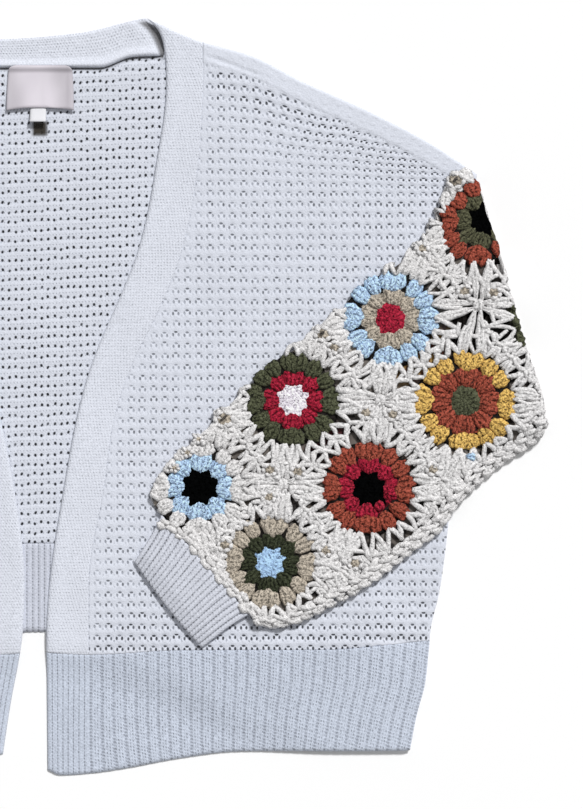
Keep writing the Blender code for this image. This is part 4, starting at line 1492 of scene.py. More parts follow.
@dataclass
class NeckLabel:
    """The bare satin label inside the neck, and the bare size tab under it."""

    half_width: float = 0.0236
    top: float = 0.2320
    bottom: float = 0.2023
    aside: float = 0.0014
    corner: float = 0.0045
    lift: float = 0.0020
    over_band: float = 0.0018
    taper: float = 0.06
    bow: float = 0.0020
    tab_half_width: float = 0.0056
    tab_top: float = 0.2048
    tab_bottom: float = 0.1922
    tab_lift: float = 0.0052
    weave: float = 0.004

    def rest(self, x: Array, y: Array) -> Array:
        """Height under the label, which lifts towards its lower edge."""
        down = np.clip((self.top - y) / (self.top - self.bottom), 0.0, 1.0)
        return FRONT_REST + self.lift * down * down + self.over_band * smooth(0.2270, 0.2305, y)

    def side(self, y: Array) -> Array:
        """The label's half width, which tapers towards the top.

        Args:
            y: places up the garment.

        Returns:
            The half width at each place.
        """
        up = np.clip((y - self.bottom) / (self.top - self.bottom), 0.0, 1.0)
        turn = np.clip((y - self.top + self.corner) / self.corner, 0.0, 1.0)
        rounded = self.corner * (1.0 - np.sqrt(1.0 - turn * turn))
        return self.half_width * (1.0 - self.taper * up * up) - rounded

    def tab_rest(self, x: Array, y: Array) -> Array:
        """Height under the size tab, which stands up a little at its lower end."""
        down = np.clip((self.tab_top - y) / (self.tab_top - self.tab_bottom), 0.0, 1.0)
        return FRONT_REST + self.tab_lift * down ** 1.5

    def build(self) -> None:
        """Builds both pieces."""
        label = KnitPanel(
            "neck_label", lambda y: self.aside - self.side(y), lambda y: self.aside + self.side(y),
            level(self.top), lambda x: self.bottom - self.bow * ((x - self.aside) / self.half_width) ** 2,
            48, 32, self.rest, wall=TAPE_WALL,
            coarse=2, free=tuple(Edge), first_top=self.top, first_bottom=self.bottom,
        )

        def relief(x: Array, y: Array) -> Array:
            """A soft fold down the label, its side hems and a slight wave.

            Args:
                x, y: places on the garment.

            Returns:
                The height over the plain wall.
            """
            fold = 0.0005 * bell(x, 0.006, 0.0030) * smooth(self.top, self.bottom, y)
            hem = 0.0002 * smooth(self.half_width - 0.004, self.half_width - 0.002, np.abs(x))
            return fold + hem + 0.0005 * np.sin(math.tau * (x / 0.034 + (self.top - y) / 0.060))

        def stitches(x: Array, y: Array) -> tuple[Array, Array]:
            """The weave's own places."""
            return x / self.weave, y / self.weave

        mesh = label.mesh(relief, stitches)
        add_piece("label", mesh, [LABEL_SATIN, LABEL_SATIN], "neck_label", label.cut())
        tab = KnitPanel(
            "size_tab", level(-self.tab_half_width), level(self.tab_half_width), level(self.tab_top),
            level(self.tab_bottom), 16, 20, self.tab_rest, wall=TAPE_WALL,
            coarse=2, free=tuple(Edge), first_top=self.tab_top, first_bottom=self.tab_bottom,
        )
        mesh = tab.mesh(lambda x, y: 0.00012 * bell(y, 0.1945, 0.0006), stitches)
        add_piece("tab", mesh, [TAB_TAPE, TAB_TAPE], "size_tab", tab.cut())


def ways_of(start: Array, end: Array) -> tuple[Array, float, Array]:
    """The way from one place to another.

    Args:
        start: the first place.
        end: the second place.

    Returns:
        The way's unit vector, its length, and the unit vector to its left.
    """
    way = end - start
    long = float(np.hypot(*way))
    way = way / long
    return way, long, np.array((-way[1], way[0]))


def heading(angle: float) -> Array:
    """The level unit vector at an angle in degrees."""
    return np.array((math.cos(math.radians(angle)), math.sin(math.radians(angle))))


@dataclass(frozen=True)
class Motif:
    """One round motif: its middle, and the dyes and radii of its core and two rings."""

    x: float
    y: float
    core: Dye
    first: Dye
    second: Dye
    core_radius: float
    first_radius: float
    second_radius: float
    star: bool = True
    stretch: tuple[float, float] = (1.0, 1.0)
    gap: float | None = None

    @property
    def middle(self) -> Array:
        """Its middle."""
        return np.array((self.x, self.y))

    def spot(self, radius: float, turn: float) -> Array:
        """A place round the motif, which is stretched along the sleeve and across it.

        Args:
            radius: distance from its middle, before it is stretched.
            turn: angle round it, in degrees.

        Returns:
            The place in the garment's frame.
        """
        way = heading(turn)
        along, across = self.stretch[0] * float(way @ ALONG_WAY), self.stretch[1] * float(way @ DOWN_WAY)
        return self.middle + radius * (along * ALONG_WAY + across * DOWN_WAY)


MOTIFS = (
    Motif(0.1134, -0.0634, Dye.BLACK, Dye.BLUE, Dye.CREAM, 0.0126, 0.0238, 0.0325),
    Motif(0.1785, -0.0025, Dye.PINKISH, Dye.CRIMSON, Dye.GREEN, 0.0110, 0.0215, 0.0335),
    Motif(0.2464, 0.0543, Dye.CRIMSON, Dye.TAN, Dye.BLUE, 0.0104, 0.0215, 0.0335, False),
    Motif(0.3136, 0.1246, Dye.BLACK, Dye.SAGE, Dye.RUST, 0.0112, 0.0215, 0.0325, stretch=(1.16, 0.86)),
    Motif(0.1624, -0.1159, Dye.SKY, Dye.FOREST, Dye.TAN, 0.0106, 0.0215, 0.0330),
    Motif(0.2310, -0.0641, Dye.BLACK, Dye.CRIMSON, Dye.RUST, 0.0118, 0.0215, 0.0335, gap=-57.0),
    Motif(0.2989, -0.0032, Dye.GREEN, Dye.RUST, Dye.YELLOW, 0.0105, 0.0245, 0.0357, False),
    Motif(0.3654, 0.0557, Dye.BLACK, Dye.BLACK, Dye.GREEN, 0.0110, 0.0225, 0.0355),
)

# Middles of the cream flowers, where four squares' corners meet, and the width of their petals
FLOWERS = (
    (0.1715, -0.0613, 0.0118), (0.2394, -0.0025, 0.0112), (0.3080, 0.0641, 0.0086), (0.1295, -0.0144, 0.0120),
    (0.1988, 0.0445, 0.0120), (0.2695, 0.1054, 0.0120), (0.1218, -0.1138, 0.0120), (0.2086, -0.1187, 0.0120),
    (0.2850, -0.0613, 0.0112), (0.3564, -0.0033, 0.0100),
)

# Stitches that curl open near the sleeve's upper fold: along, across and size, in the sleeve's own frame
CURLS = (
    (-0.1335, -0.0240, 0.0062), (-0.0425, -0.0230, 0.0054), (0.0490, -0.0220, 0.0042),
    (0.0980, -0.0420, 0.0056), (-0.1680, -0.0235, 0.0030), (-0.1820, -0.0215, 0.0028),
    (-0.1560, -0.0255, 0.0028),
)

# Ends of the cream clusters that run up over the shoulder, in the sleeve's own frame
SHOULDER_CLUSTERS = (
    ((0.0800, -0.0330), (0.0890, -0.0420)), ((0.0880, -0.0345), (0.0990, -0.0470)),
    ((0.1055, -0.0330), (0.1062, -0.0470)),
)

# Ends of the loose blue stitch beside a motif, in the garment's frame
BLUE_STITCH = ((0.2995, -0.0412), (0.3068, -0.0428))

# The line where the crochet meets the cuff, in the sleeve's own frame
CUFF_LINE = (
    (-0.2165, -0.0020), (-0.2130, 0.0100), (-0.2100, 0.0300), (-0.2095, 0.0550), (-0.2105, 0.0800),
    (-0.2110, 0.0920), (-0.2080, 0.1020),
)


@dataclass(frozen=True)
class Stamp:
    """One kind of stitch, as a small mesh in its own unit space that is repeated many times."""

    mesh: Mesh
    points: Array

    @staticmethod
    def of(shape: bmesh.types.BMesh, name: str) -> "Stamp":
        """Makes a stamp from its shape.

        Args:
            shape: the shape, which is freed.
            name: the kind of stitch.

        Returns:
            The stamp.
        """
        bmesh.ops.recalc_face_normals(shape, faces=shape.faces[:])
        mesh = as_mesh(shape, name)
        return Stamp(mesh, points_of(mesh))


def puff_stamp() -> Stamp:
    """A cluster of trebles: a patch on the unit square, closed underneath, which its stitch domes.

    Returns:
        The stamp.
    """
    shape = bmesh.new()
    bmesh.ops.create_grid(shape, x_segments=12, y_segments=8, size=1.0)
    low, rim = grown(shape, [edge for edge in shape.edges if edge.is_boundary])
    bmesh.ops.translate(shape, verts=list(low), vec=(0.0, 0.0, -1.0))
    bmesh.ops.holes_fill(shape, edges=rim, sides=0)
    return Stamp.of(shape, "puff")


def strand_stamp() -> Stamp:
    """A stretch of yarn: a tube along Z from 0 to 1, closed at both ends.

    Returns:
        The stamp.
    """
    rows = 5
    shape = bmesh.new()
    bmesh.ops.create_circle(shape, segments=6, radius=1.0)
    first = rim = shape.edges[:]
    for _ in range(rows):
        fresh, rim = grown(shape, rim)
        bmesh.ops.translate(shape, verts=list(fresh), vec=(0.0, 0.0, 1.0 / rows))
    bmesh.ops.holes_fill(shape, edges=first + rim, sides=0)
    return Stamp.of(shape, "strand")


@dataclass
class StitchHeap:
    """Stitches of one stamp, gathered with their places and dyes, to be joined in one mesh."""

    stamp: Stamp
    points: list[Array] = field(default_factory=list)
    flats: list[Array] = field(default_factory=list)
    dyes: list[Dye] = field(default_factory=list)

    def add(self, points: Array, flat: Array, dye: Dye) -> None:
        """Adds one stitch.

        Args:
            points: its points.
            flat: its stitch coordinates, at each point.
            dye: its dye.
        """
        self.points.append(points)
        self.flats.append(flat)
        self.dyes.append(dye)


LACE_CUT = Cut((0.30, 0.162), 0.0475)
UNDER_CUT = Cut((0.30, 0.155), 0.044)
POSTS = 22
PLAIN_STITCH = 0.003
PUFF_ROW = 0.0022
STRAND_PLY = 0.0020


@dataclass
class CrochetSleeve:
    """One sleeve of joined crochet squares, folded across the front and laid stitch by stitch."""

    side: Side
    upper_low: float = CROCHET_WALL + SEAM_GAP
    first_height: float = 0.0032
    second_height: float = 0.0036
    petal_height: float = 0.0038
    cluster_height: float = 0.0030
    post_foot: float = 0.0026
    post_reach: float = 0.0170
    join_half: float = 0.034
    rung_half: float = 0.0105
    edge_pitch: float = 0.0090
    edge_insets: tuple[float, float] = (0.0022, 0.0076)
    cluster_pitch: float = 0.0086
    cuff_pitch: float = 0.0068
    cuff_insets: tuple[float, float] = (0.0006, 0.0048)

    def __post_init__(self) -> None:
        """Starts the sleeve's chances and its empty heaps of stitches."""
        self.vary = np.random.default_rng(7).uniform
        self.puffs = StitchHeap(puff_stamp())
        self.lace_puffs = StitchHeap(self.puffs.stamp)
        self.strands = StitchHeap(strand_stamp())

    def inside(self, x: Array, y: Array) -> tuple[Array, Array, Array]:
        """How far outside the outline each place is, and which way is out.

        Args:
            x, y: places on the garment.

        Returns:
            The distance outside, less than 0 inside, and the outward direction's X and Y.
        """
        along, across = to_sleeve(x, y)
        fold = fold_normal()
        gaps = np.stack([
            sleeve_upper(along) - across,
            across - sleeve_lower(along),
            (x - FOLD_END[0]) * fold[0] + (y - FOLD_END[1]) * fold[1],
            (x - FOLD_CORNER[0]) * CORNER_WAY[0] + (y - FOLD_CORNER[1]) * CORNER_WAY[1],
        ])
        ways = np.array((-DOWN_WAY, DOWN_WAY, fold, CORNER_WAY))
        nearest = np.argmax(gaps, axis=0)
        return np.take_along_axis(gaps, nearest[None], 0)[0], ways[nearest, 0], ways[nearest, 1]

    def lay(self, x: Array, y: Array, height: Array) -> Array:
        """Lays points on the sleeve: flat inside the outline, and rolled over its edge.

        Args:
            x, y: places on the garment.
            height: heights over the underside of the flattened sleeve.

        Returns:
            The points, one row each.
        """
        gap, way_x, way_y = self.inside(x, y)
        past = np.maximum(gap + ROLL_OUTER, 0.0)
        turn = np.minimum(past / ROLL_MIDDLE, LONGEST_ROLL)
        left_over = np.maximum(past - turn * ROLL_MIDDLE, 0.0)
        reach = height - ROLL_OUTER
        shift = np.where(past > 0.0, reach * np.sin(turn) - past - 0.8 * left_over, 0.0)
        z = np.where(past > 0.0, ROLL_OUTER + reach * np.cos(turn), height)
        flat_x, flat_y = x + way_x * shift, y + way_y * shift
        return np.stack([flat_x, flat_y, sleeve_rest(flat_x, flat_y) + np.maximum(z, 0.0002)], axis=1)

    def puff(
        self, heap: StitchHeap, start: Array, end: Array, width: float, height: float, dye: Dye,
        strands: float = 3.0, pinch: float = 0.42, split: float = 0.0, tone: float = 0.5,
    ) -> None:
        """Adds a cluster of stitches between two places.

        Args:
            heap: where it goes.
            start: the middle of its narrow end.
            end: the middle of its wide end.
            width: its greatest width.
            height: its height.
            dye: its dye.
            strands: how many strands it has side by side, or 0 for a plain patch.
            pinch: how much narrower its start is.
            split: how deep the notch is that parts its wide end in two.
            tone: 0 for a plain patch painted in shade, 0.5 for a lighter one.
        """
        unit = heap.stamp.points
        a, b, low = unit[:, 0], unit[:, 1], unit[:, 2] < -0.5
        across = a * np.sqrt(1.0 - 0.5 * b * b)
        down = b * np.sqrt(1.0 - 0.5 * a * a)
        dome = np.sqrt(np.clip(1.0 - across * across - down * down, 0.0, 1.0))
        turn = np.arctan2(down, across)
        phases = self.vary(0.0, math.tau, 2)
        ragged = 1.0 + 0.05 * np.sin(3.0 * turn + phases[0]) + 0.05 * np.sin(8.0 * turn + phases[1])
        across, down = across * ragged, down * ragged
        share = 0.5 * (down + 1.0)
        egg = 1.0 - pinch * np.clip(1.0 - share, 0.0, 1.0) ** 1.4
        # Grooves between the strands, which also part their ends
        groove = np.cos(math.pi * strands * (across + 1.0) / 2.0 + math.pi / 2.0) ** 2
        share = share + 0.06 * (groove - 0.6) * smooth(0.55, 1.0, share) * (strands > 1.0)
        groove = 1.0 - 0.24 * (1.0 - groove) * smooth(0.0, 0.5, dome) * (strands > 0.0)
        # The notch between the two halves of a double cluster
        notch = split * bell(across, 0.0, 0.22) * smooth(0.25, 0.90, share)
        groove = groove * (1.0 - 0.55 * notch)
        share = share * (1.0 - 0.16 * notch)
        way, long, aside = ways_of(start, end)
        flat = start + np.outer(share * long, way) + np.outer(0.5 * width * egg * across, aside)
        tall = self.upper_low + height * (0.30 + 0.70 * dome ** 0.75) * groove
        tall = np.where(low, self.upper_low, tall)
        points = self.lay(flat[:, 0], flat[:, 1], tall)
        flat_places = np.stack([0.5 * strands * (across + 1.0), share * long / PUFF_ROW], axis=1)
        heap.add(points, flat_places if strands else np.full_like(flat_places, tone), dye)

    def strand(
        self, start: Array, end: Array, radius: float, bow: float, rise: float = 0.0, dye: Dye = Dye.CREAM,
    ) -> None:
        """Adds a stretch of yarn between two places.

        Args:
            start: its first end.
            end: its last end.
            radius: its half width.
            bow: how far its middle swings to the left.
            rise: how far its middle stands above its ends.
            dye: its dye.
        """
        unit = self.strands.stamp.points
        t = unit[:, 2]
        way, long, aside = ways_of(start, end)
        swing = 4.0 * t * (1.0 - t)
        lean = 4.0 * (1.0 - 2.0 * t) * bow / long
        tangent = way + np.outer(lean, aside)
        tangent /= np.linalg.norm(tangent, axis=1)[:, None]
        normal = np.stack([-tangent[:, 1], tangent[:, 0]], axis=1)
        phase = self.vary(0.0, math.tau)
        thick = radius * (0.72 + 0.28 * np.sin(math.pi * np.clip(t, 0.0, 1.0)) ** 0.6)
        thick = thick * (1.0 + 0.10 * np.sin(9.0 * t + phase))
        middle = start + np.outer(t, end - start) + np.outer(bow * swing, aside)
        flat = middle + normal * (thick * unit[:, 0])[:, None]
        height = self.upper_low + 0.0016 + rise * swing + thick * 0.85 * unit[:, 1]
        points = self.lay(flat[:, 0], flat[:, 1], height)
        turn = np.arctan2(unit[:, 1], unit[:, 0]) / math.pi
        self.strands.add(points, np.stack([turn + 1.0, t * long / STRAND_PLY], axis=1), dye)

    def shows(self, place: Array, margin: float = 0.004) -> bool:
        """Whether a stitch at this place is on the sleeve's upper side.

        Args:
            place: the stitch's middle.
            margin: how far past the outline it may lie.

        Returns:
            Whether it shows.
        """
        gap, _, _ = self.inside(place[:1], place[1:2])
        along, _ = to_sleeve(place[0], place[1])
        return bool(gap[0] < margin and SLEEVE_SEAM_ALONG - 0.009 < along < SLEEVE_END_ALONG)

    def ring(
        self, motif: Motif, inner: float, outer: float, dye: Dye, clusters: list[tuple[float, float]],
        height: float, spread: float, pinch: float,
    ) -> None:
        """Adds one round of clusters.

        Args:
            motif: the motif it belongs to.
            inner: radius where the clusters start.
            outer: radius where they end.
            dye: their dye.
            clusters: the middle angle and the width of each, in degrees; the widest are double.
            height: their height.
            spread: how far they spread, as a share of their width.
            pinch: how much narrower their inner ends are.
        """
        widest = max(wide for _, wide in clusters)
        for angle, wide in clusters:
            turn = angle + self.vary(-2.0, 2.0)
            start = motif.spot(inner + self.vary(-0.0006, 0.0006), turn)
            end = motif.spot(outer + self.vary(0.0002, 0.0022), turn)
            broad = mix(inner, outer, 0.66)
            chord = motif.spot(broad, turn + 0.5 * wide) - motif.spot(broad, turn - 0.5 * wide)
            width = float(np.hypot(*chord)) * spread * self.vary(0.95, 1.05)
            if self.shows(mix(start, end, 0.5)):
                high = height * self.vary(0.90, 1.08)
                double = wide == widest
                strands = 5.0 if double else 3.0
                self.puff(self.puffs, start, end, width, high, dye, strands, pinch, 1.0 if double else 0.0)

    def disc(
        self, heap: StitchHeap, motif: Motif, radius: float, height: float, dye: Dye, tone: float,
    ) -> None:
        """Adds a plain round patch round a motif's middle.

        Args:
            heap: where it goes.
            motif: the motif.
            radius: the patch's radius.
            height: its height.
            dye: its dye.
            tone: 0 painted in shade, 0.5 lighter.
        """
        start, end = motif.spot(radius, 0.0), motif.spot(radius, 180.0)
        width = 2.0 * float(np.hypot(*(motif.spot(radius, 90.0) - motif.middle)))
        self.puff(heap, start, end, width, height, dye, 0.0, 0.0, tone=tone)

    def add_motif(self, motif: Motif) -> None:
        """Adds the core and both rings of one motif, over discs painted in shade.

        Args:
            motif: the motif.
        """
        spin = self.vary(-3.0, 3.0)
        if not self.shows(motif.middle, 0.030):
            return
        core_reach = motif.core_radius + (0.0026 if motif.star else 0.0018)
        self.disc(self.puffs, motif, core_reach, 0.0019, motif.core, 0.5)
        # Painted shade: a low disc in the first round's dye, in its shaded tone, fills the gaps between that
        # round's clusters
        self.disc(self.puffs, motif, motif.first_radius, 0.0013, motif.first, 0.0)
        if not motif.star:
            for count in range(12):
                tip = motif.spot(motif.core_radius, spin + 30.0 * count)
                self.puff(self.puffs, motif.middle, tip, 0.0056, 0.0027, motif.core, 1.0, 0.5)
        inner = motif.core_radius - (0.0026 if motif.star else 0.0012)
        # A wide double cluster to each corner of the square, and narrow ones to its sides
        sides = [math.degrees(SLEEVE_ANGLE) + spin + 90.0 * side for side in range(4)]
        first = [(side + 45.0, 52.0) for side in sides] + [(side, 38.0) for side in sides]
        # One cluster of the first round may be missing, with only its foot in view
        if motif.gap is not None:
            far = [abs((angle - motif.gap + 180.0) % 360.0 - 180.0) for angle, _ in first]
            first.pop(far.index(min(far)))
            start, end = motif.spot(0.0060, motif.gap), motif.spot(0.0185, motif.gap)
            self.puff(self.puffs, start, end, 0.0120, 0.0022, motif.core, 0.0, 0.0)
            start, end = motif.spot(0.0108, motif.gap), motif.spot(0.0184, motif.gap)
            self.puff(self.puffs, start, end, 0.0078, 0.0048, motif.first, 2.0, 0.0)
        self.ring(motif, inner, motif.first_radius, motif.first, first, self.first_height, 1.19, 0.50)
        second = [(side + 45.0, 43.0) for side in sides]
        second += [(side + part, 23.5) for side in sides for part in (-11.7, 11.7)]
        inner, outer = motif.first_radius - 0.0034, motif.second_radius - 0.0006
        self.ring(motif, inner, outer, motif.second, second, self.second_height, 1.12, 0.30)
        # Painted shade: a dark disc under the rings stands for the shade in the gaps between the clusters
        self.disc(self.lace_puffs, motif, 0.95 * motif.second_radius, 0.0009, Dye.DEEP, 0.5)

    def edge_planes(self, motif: Motif) -> list[tuple[Array, float]]:
        """The sides of a motif's square: half way to each neighbour, and the sleeve's own edges.

        Args:
            motif: the motif.

        Returns:
            Each side's direction from the motif's middle, and its distance.
        """
        planes = []
        for other in MOTIFS:
            way = other.middle - motif.middle
            far = float(np.hypot(*way))
            if 0.0 < far < 0.1:
                planes.append((way / far, (far + motif.second_radius - other.second_radius) / 2.0))
        along, across = (float(value) for value in to_sleeve(*motif.middle))
        low, high = (float(line(np.array(along))) for line in (sleeve_upper, sleeve_lower))
        planes.append((-DOWN_WAY, across - low - 0.001))
        planes.append((DOWN_WAY, high - across - 0.0105))
        planes.append((-ALONG_WAY, along - SLEEVE_SEAM_ALONG))
        return planes

    def add_posts(self, motif: Motif) -> None:
        """Adds the V stitches between a motif's outer ring and the sides of its square.

        Args:
            motif: the motif.
        """
        planes = self.edge_planes(motif)
        inner, outer = motif.second_radius - self.post_foot, motif.second_radius + self.post_reach
        step = 360.0 / POSTS

        def reach(way: Array) -> float:
            """Distance from the motif's middle to the side of its square."""
            depths = [depth / float(way @ side) for side, depth in planes if float(way @ side) > 0.2]
            return min(depths + [outer])

        for count in range(POSTS):
            angle = step * count + self.vary(-3.0, 3.0)
            foot = motif.spot(inner, angle)
            heads = []
            for lean in (-0.5, 0.5):
                head_angle = step * (count + lean)
                radius = reach(heading(head_angle))
                way = heading(head_angle + self.vary(-1.5, 1.5))
                head = motif.middle + (radius + self.vary(-0.0010, 0.0010)) * way
                if radius > motif.second_radius + 0.0015 and self.shows(mix(foot, head, 0.5), 0.002):
                    bow = 0.0022 * self.vary(-1.0, 1.0)
                    thin = 0.0018 if to_sleeve(*head)[0] > 0.035 else 0.0021
                    self.strand(foot, head, thin * self.vary(0.85, 1.15), bow, 0.0004)
                    heads.append(head)
            if len(heads) == 2 and self.vary() < 0.6:
                low, high = (mix(foot, head, self.vary(0.62, 0.92)) for head in heads)
                self.strand(low, high, 0.0018, self.vary(-0.0014, 0.0014), 0.0006)

    def add_flower(self, place: Place, petal: float) -> None:
        """Adds the petals of a cream flower, each towards a motif, the knot in its middle and curls between.

        Args:
            place: the flower's middle.
            petal: the width of half a petal.
        """
        middle = np.array(place)
        near = [motif for motif in MOTIFS if np.hypot(*(motif.middle - middle)) < 0.080]
        along, across = to_sleeve(*middle)
        to_edge = float(sleeve_lower(along) - across)
        petals = [(motif.middle - middle, motif.second_radius - 0.0030) for motif in near]
        if to_edge < 0.030:
            petals.append((to_edge * DOWN_WAY, 0.0080))
        ways = []
        for way, short in petals:
            far = float(np.hypot(*way))
            way = way / far
            ways.append(way)
            aside = np.array((-way[1], way[0]))
            long = far - short
            for half in (-1.0, 1.0):
                start = middle + way * 0.0015 + aside * half * 0.0016
                end = middle + way * (long + self.vary(-0.0012, 0.0012)) + aside * half * 0.0062
                if self.shows(mix(start, end, 0.5)):
                    wide = petal * self.vary(0.90, 1.08)
                    self.puff(self.lace_puffs, start, end, wide, self.petal_height, Dye.CREAM, 2.0, 0.52)
        ways.sort(key=lambda way: math.atan2(way[1], way[0]))
        for first, second in zip(ways, ways[1:] + ways[:1]):
            between = first + second
            if np.hypot(*between) > 0.9 and self.vary() < 0.7:
                self.add_curl(middle + 0.0135 * between / np.hypot(*between), 0.0046)
        if self.shows(middle):
            low, high = middle - np.array((0.0, 0.0045)), middle + np.array((0.0, 0.0045))
            self.puff(self.lace_puffs, low, high, 0.0085, 0.0033, Dye.CREAM, 2.0, 0.0)

    def add_curl(self, middle: Array, size: float) -> None:
        """Adds a stitch that curls round a small hole.

        Args:
            middle: the hole's middle.
            size: the curl's radius.
        """
        if not self.shows(middle, 0.0):
            return
        turns = np.linspace(0.0, math.tau, 7) + self.vary(0.0, 1.0)
        ring = [middle + size * np.array((math.cos(turn), 0.8 * math.sin(turn))) for turn in turns]
        low, high = middle - np.array((0.0, 0.8 * size)), middle + np.array((0.0, 0.8 * size))
        # Painted shade: the hole is a low tan patch in its shaded tone
        self.puff(self.lace_puffs, low, high, 1.7 * size, 0.0043, Dye.TAN, 0.0, 0.0, tone=0.0)
        for start, end in zip(ring, ring[1:]):
            self.strand(start, end, 0.0017, -0.12 * size, 0.0018)
        # Painted shade: a large hole gets a dark strand across it
        if size > 0.005:
            self.strand(middle - 0.5 * size, middle + 0.5 * size, 0.0011, 0.0008, 0.0026, Dye.SHADED)

    def add_join(self, first: Motif, second: Motif, double: bool) -> None:
        """Adds the chain along the join between two neighbouring squares.

        Args:
            first: one square's motif.
            second: the other square's motif.
            double: whether the chain has two strands side by side, or one that zigzags.
        """
        way, far, aside = ways_of(first.middle, second.middle)
        middle = first.middle + way * (far + first.second_radius - second.second_radius) / 2.0
        links = 12 if double else 9
        shares = [count / links for count in range(links + 1)]
        spots = [middle + aside * mix(-self.join_half, self.join_half, share) for share in shares]
        for count, (start, end) in enumerate(zip(spots, spots[1:])):
            lean = way * (0.0016 if double else 0.0032) * (1.0 if count % 2 else -1.0)
            if self.shows(mix(start, end, 0.5)):
                self.strand(start - lean, end + lean, 0.0020, 0.0005, 0.0008)
                if double:
                    self.strand(start + lean, end + lean, 0.0017, -0.0005, 0.0003)
            rung = way * self.rung_half
            if double and abs(2 * count + 1 - links) < 8 and self.shows(start, 0.0):
                for shift in (-0.0007, 0.0022):
                    low, high = start - rung + aside * shift, start + rung - aside * shift
                    if self.vary() < 0.8:
                        self.strand(low, high, 0.0017 * self.vary(0.85, 1.2), 0.0006, -0.0002)

    def add_lower_edge(self) -> None:
        """Adds the two braided chains along the sleeve's lower edge."""
        for row, inset in enumerate(self.edge_insets):
            along = np.arange(-0.2120, 0.1120, self.edge_pitch) + 0.5 * self.edge_pitch * row
            for number in range(len(along) - 1):
                ends = along[number:number + 2] + self.vary(-0.0012, 0.0012, 2)
                for strand, swing in ((0, 1.0), (1, -1.0)):
                    shift = self.vary(0.0012, 0.0026) * swing * (1.0 if number % 2 else -1.0)
                    depth = sleeve_lower(ends) - inset + self.vary(-0.0006, 0.0006)
                    start, end = np.transpose(to_world(ends, depth + np.array((shift, -shift))))
                    if self.shows(mix(start, end, 0.5), 0.001):
                        wide = self.vary(0.0018, 0.0025)
                        bow = 0.0013 * swing * (1.0 if number % 2 else -1.0)
                        self.strand(start, end, wide, bow, 0.0010 if strand == number % 2 else 0.0001)

    def add_edge_clusters(self) -> None:
        """Adds the clusters between the motifs' squares and the lower edge."""
        for along in np.arange(-0.2040, 0.0900, self.cluster_pitch):
            depth = float(sleeve_lower(np.array(along)))
            start, end = np.array(to_world(along, depth - 0.0215)), np.array(to_world(along, depth - 0.0088))
            foot = mix(start, end, 0.3)
            near = min(np.hypot(*(foot - motif.middle)) - motif.second_radius for motif in MOTIFS)
            if near > 0.0040 and self.shows(start, 0.0):
                self.puff(self.lace_puffs, start, end, 0.0102, self.cluster_height, Dye.CREAM, 3.0, 0.30)

    def add_cuff_line(self) -> None:
        """Adds the two chains that draw the crochet in over the end of the cuff."""
        line = Curve(tuple((across, along) for along, across in CUFF_LINE))
        for inset in self.cuff_insets:
            across = np.arange(-0.0010, 0.1030, self.cuff_pitch)
            across = across + self.vary(-0.0014, 0.0014, len(across))
            along = line(across) + inset + self.vary(-0.0009, 0.0009, len(across))
            spots = np.transpose(to_world(along, across))
            for number, (start, end) in enumerate(zip(spots, spots[1:])):
                bow = 0.0012 * (1.0 if number % 2 else -1.0) + self.vary(-0.0008, 0.0008)
                self.strand(start, end, self.vary(0.0019, 0.0028), bow, 0.0006)

    def add_shoulder_end(self) -> None:
        """Adds the cream clusters that run up over the shoulder."""
        for low, high in SHOULDER_CLUSTERS:
            start, end = np.array(to_world(*low)), np.array(to_world(*high))
            self.puff(self.lace_puffs, start, end, 0.0110, self.cluster_height, Dye.CREAM, 2.0, 0.30)

    def joined(self, heaps: tuple[StitchHeap, ...]) -> tuple[Mesh, list[Dye]]:
        """Joins heaps of stitches in one mesh, one material for each dye.

        Args:
            heaps: the heaps.

        Returns:
            The mesh, and its dyes in the order of its materials.
        """
        dyes = list(dict.fromkeys(dye for heap in heaps for dye in heap.dyes))
        whole = bmesh.new()
        for heap in heaps:
            for dye in heap.dyes:
                done = len(whole.faces)
                whole.from_mesh(heap.stamp.mesh)
                whole.faces.ensure_lookup_table()
                for face in whole.faces[done:]:
                    face.material_index = dyes.index(dye)
        mesh = as_mesh(whole, "stitches")
        points = np.concatenate([item for heap in heaps for item in heap.points])
        flat = np.concatenate([item for heap in heaps for item in heap.flats])
        put_numbers(mesh, points, flat[:, 0], flat[:, 1], {}, self.side.sign)
        return mesh, dyes

    def add_under(self) -> None:
        """The wall under the sleeve's upper side, painted in the shade of the gaps above it."""
        inset = 0.0045
        name = self.side.value + "_sleeve_under"
        mesh = unit_wall(96, 48, 4).copy()
        s, t, upper = laid_out(mesh)
        along = np.full_like(s, 0.05)
        for _ in range(12):
            across = mix(sleeve_upper(along) + inset, sleeve_lower(along) - inset, t)
            end_along = self.fold_along(across, inset)
            along = mix(SLEEVE_SEAM_ALONG, end_along, s)
        x, y = to_world(along, across)
        weave = 0.0002 * np.sin(math.tau * along / 0.006) * np.sin(math.tau * across / 0.006)
        low = sleeve_rest(x, y)
        z = np.where(upper, low + CROCHET_WALL - 0.0004 + weave, low)
        points = np.stack([x, y, z], axis=1)
        put_numbers(mesh, points, along / PLAIN_STITCH, across / PLAIN_STITCH, {}, self.side.sign)
        add_piece(
            name + "_wall", mesh, [SHADED_UNDER_LACE, Dye.CREAM.finish()], name, UNDER_CUT,
        )

    def fold_along(self, across: Array, inset: float) -> Array:
        """How far along the sleeve its fold lies.

        Args:
            across: places across the sleeve.
            inset: how far inside the fold to stay.

        Returns:
            The distance along the sleeve, at each place.
        """
        normal = fold_normal()
        base_x, base_y = to_world(np.zeros_like(across), across)
        gap = (FOLD_END[0] - base_x) * normal[0] + (FOLD_END[1] - base_y) * normal[1] - inset
        return gap / (ALONG_WAY @ normal)

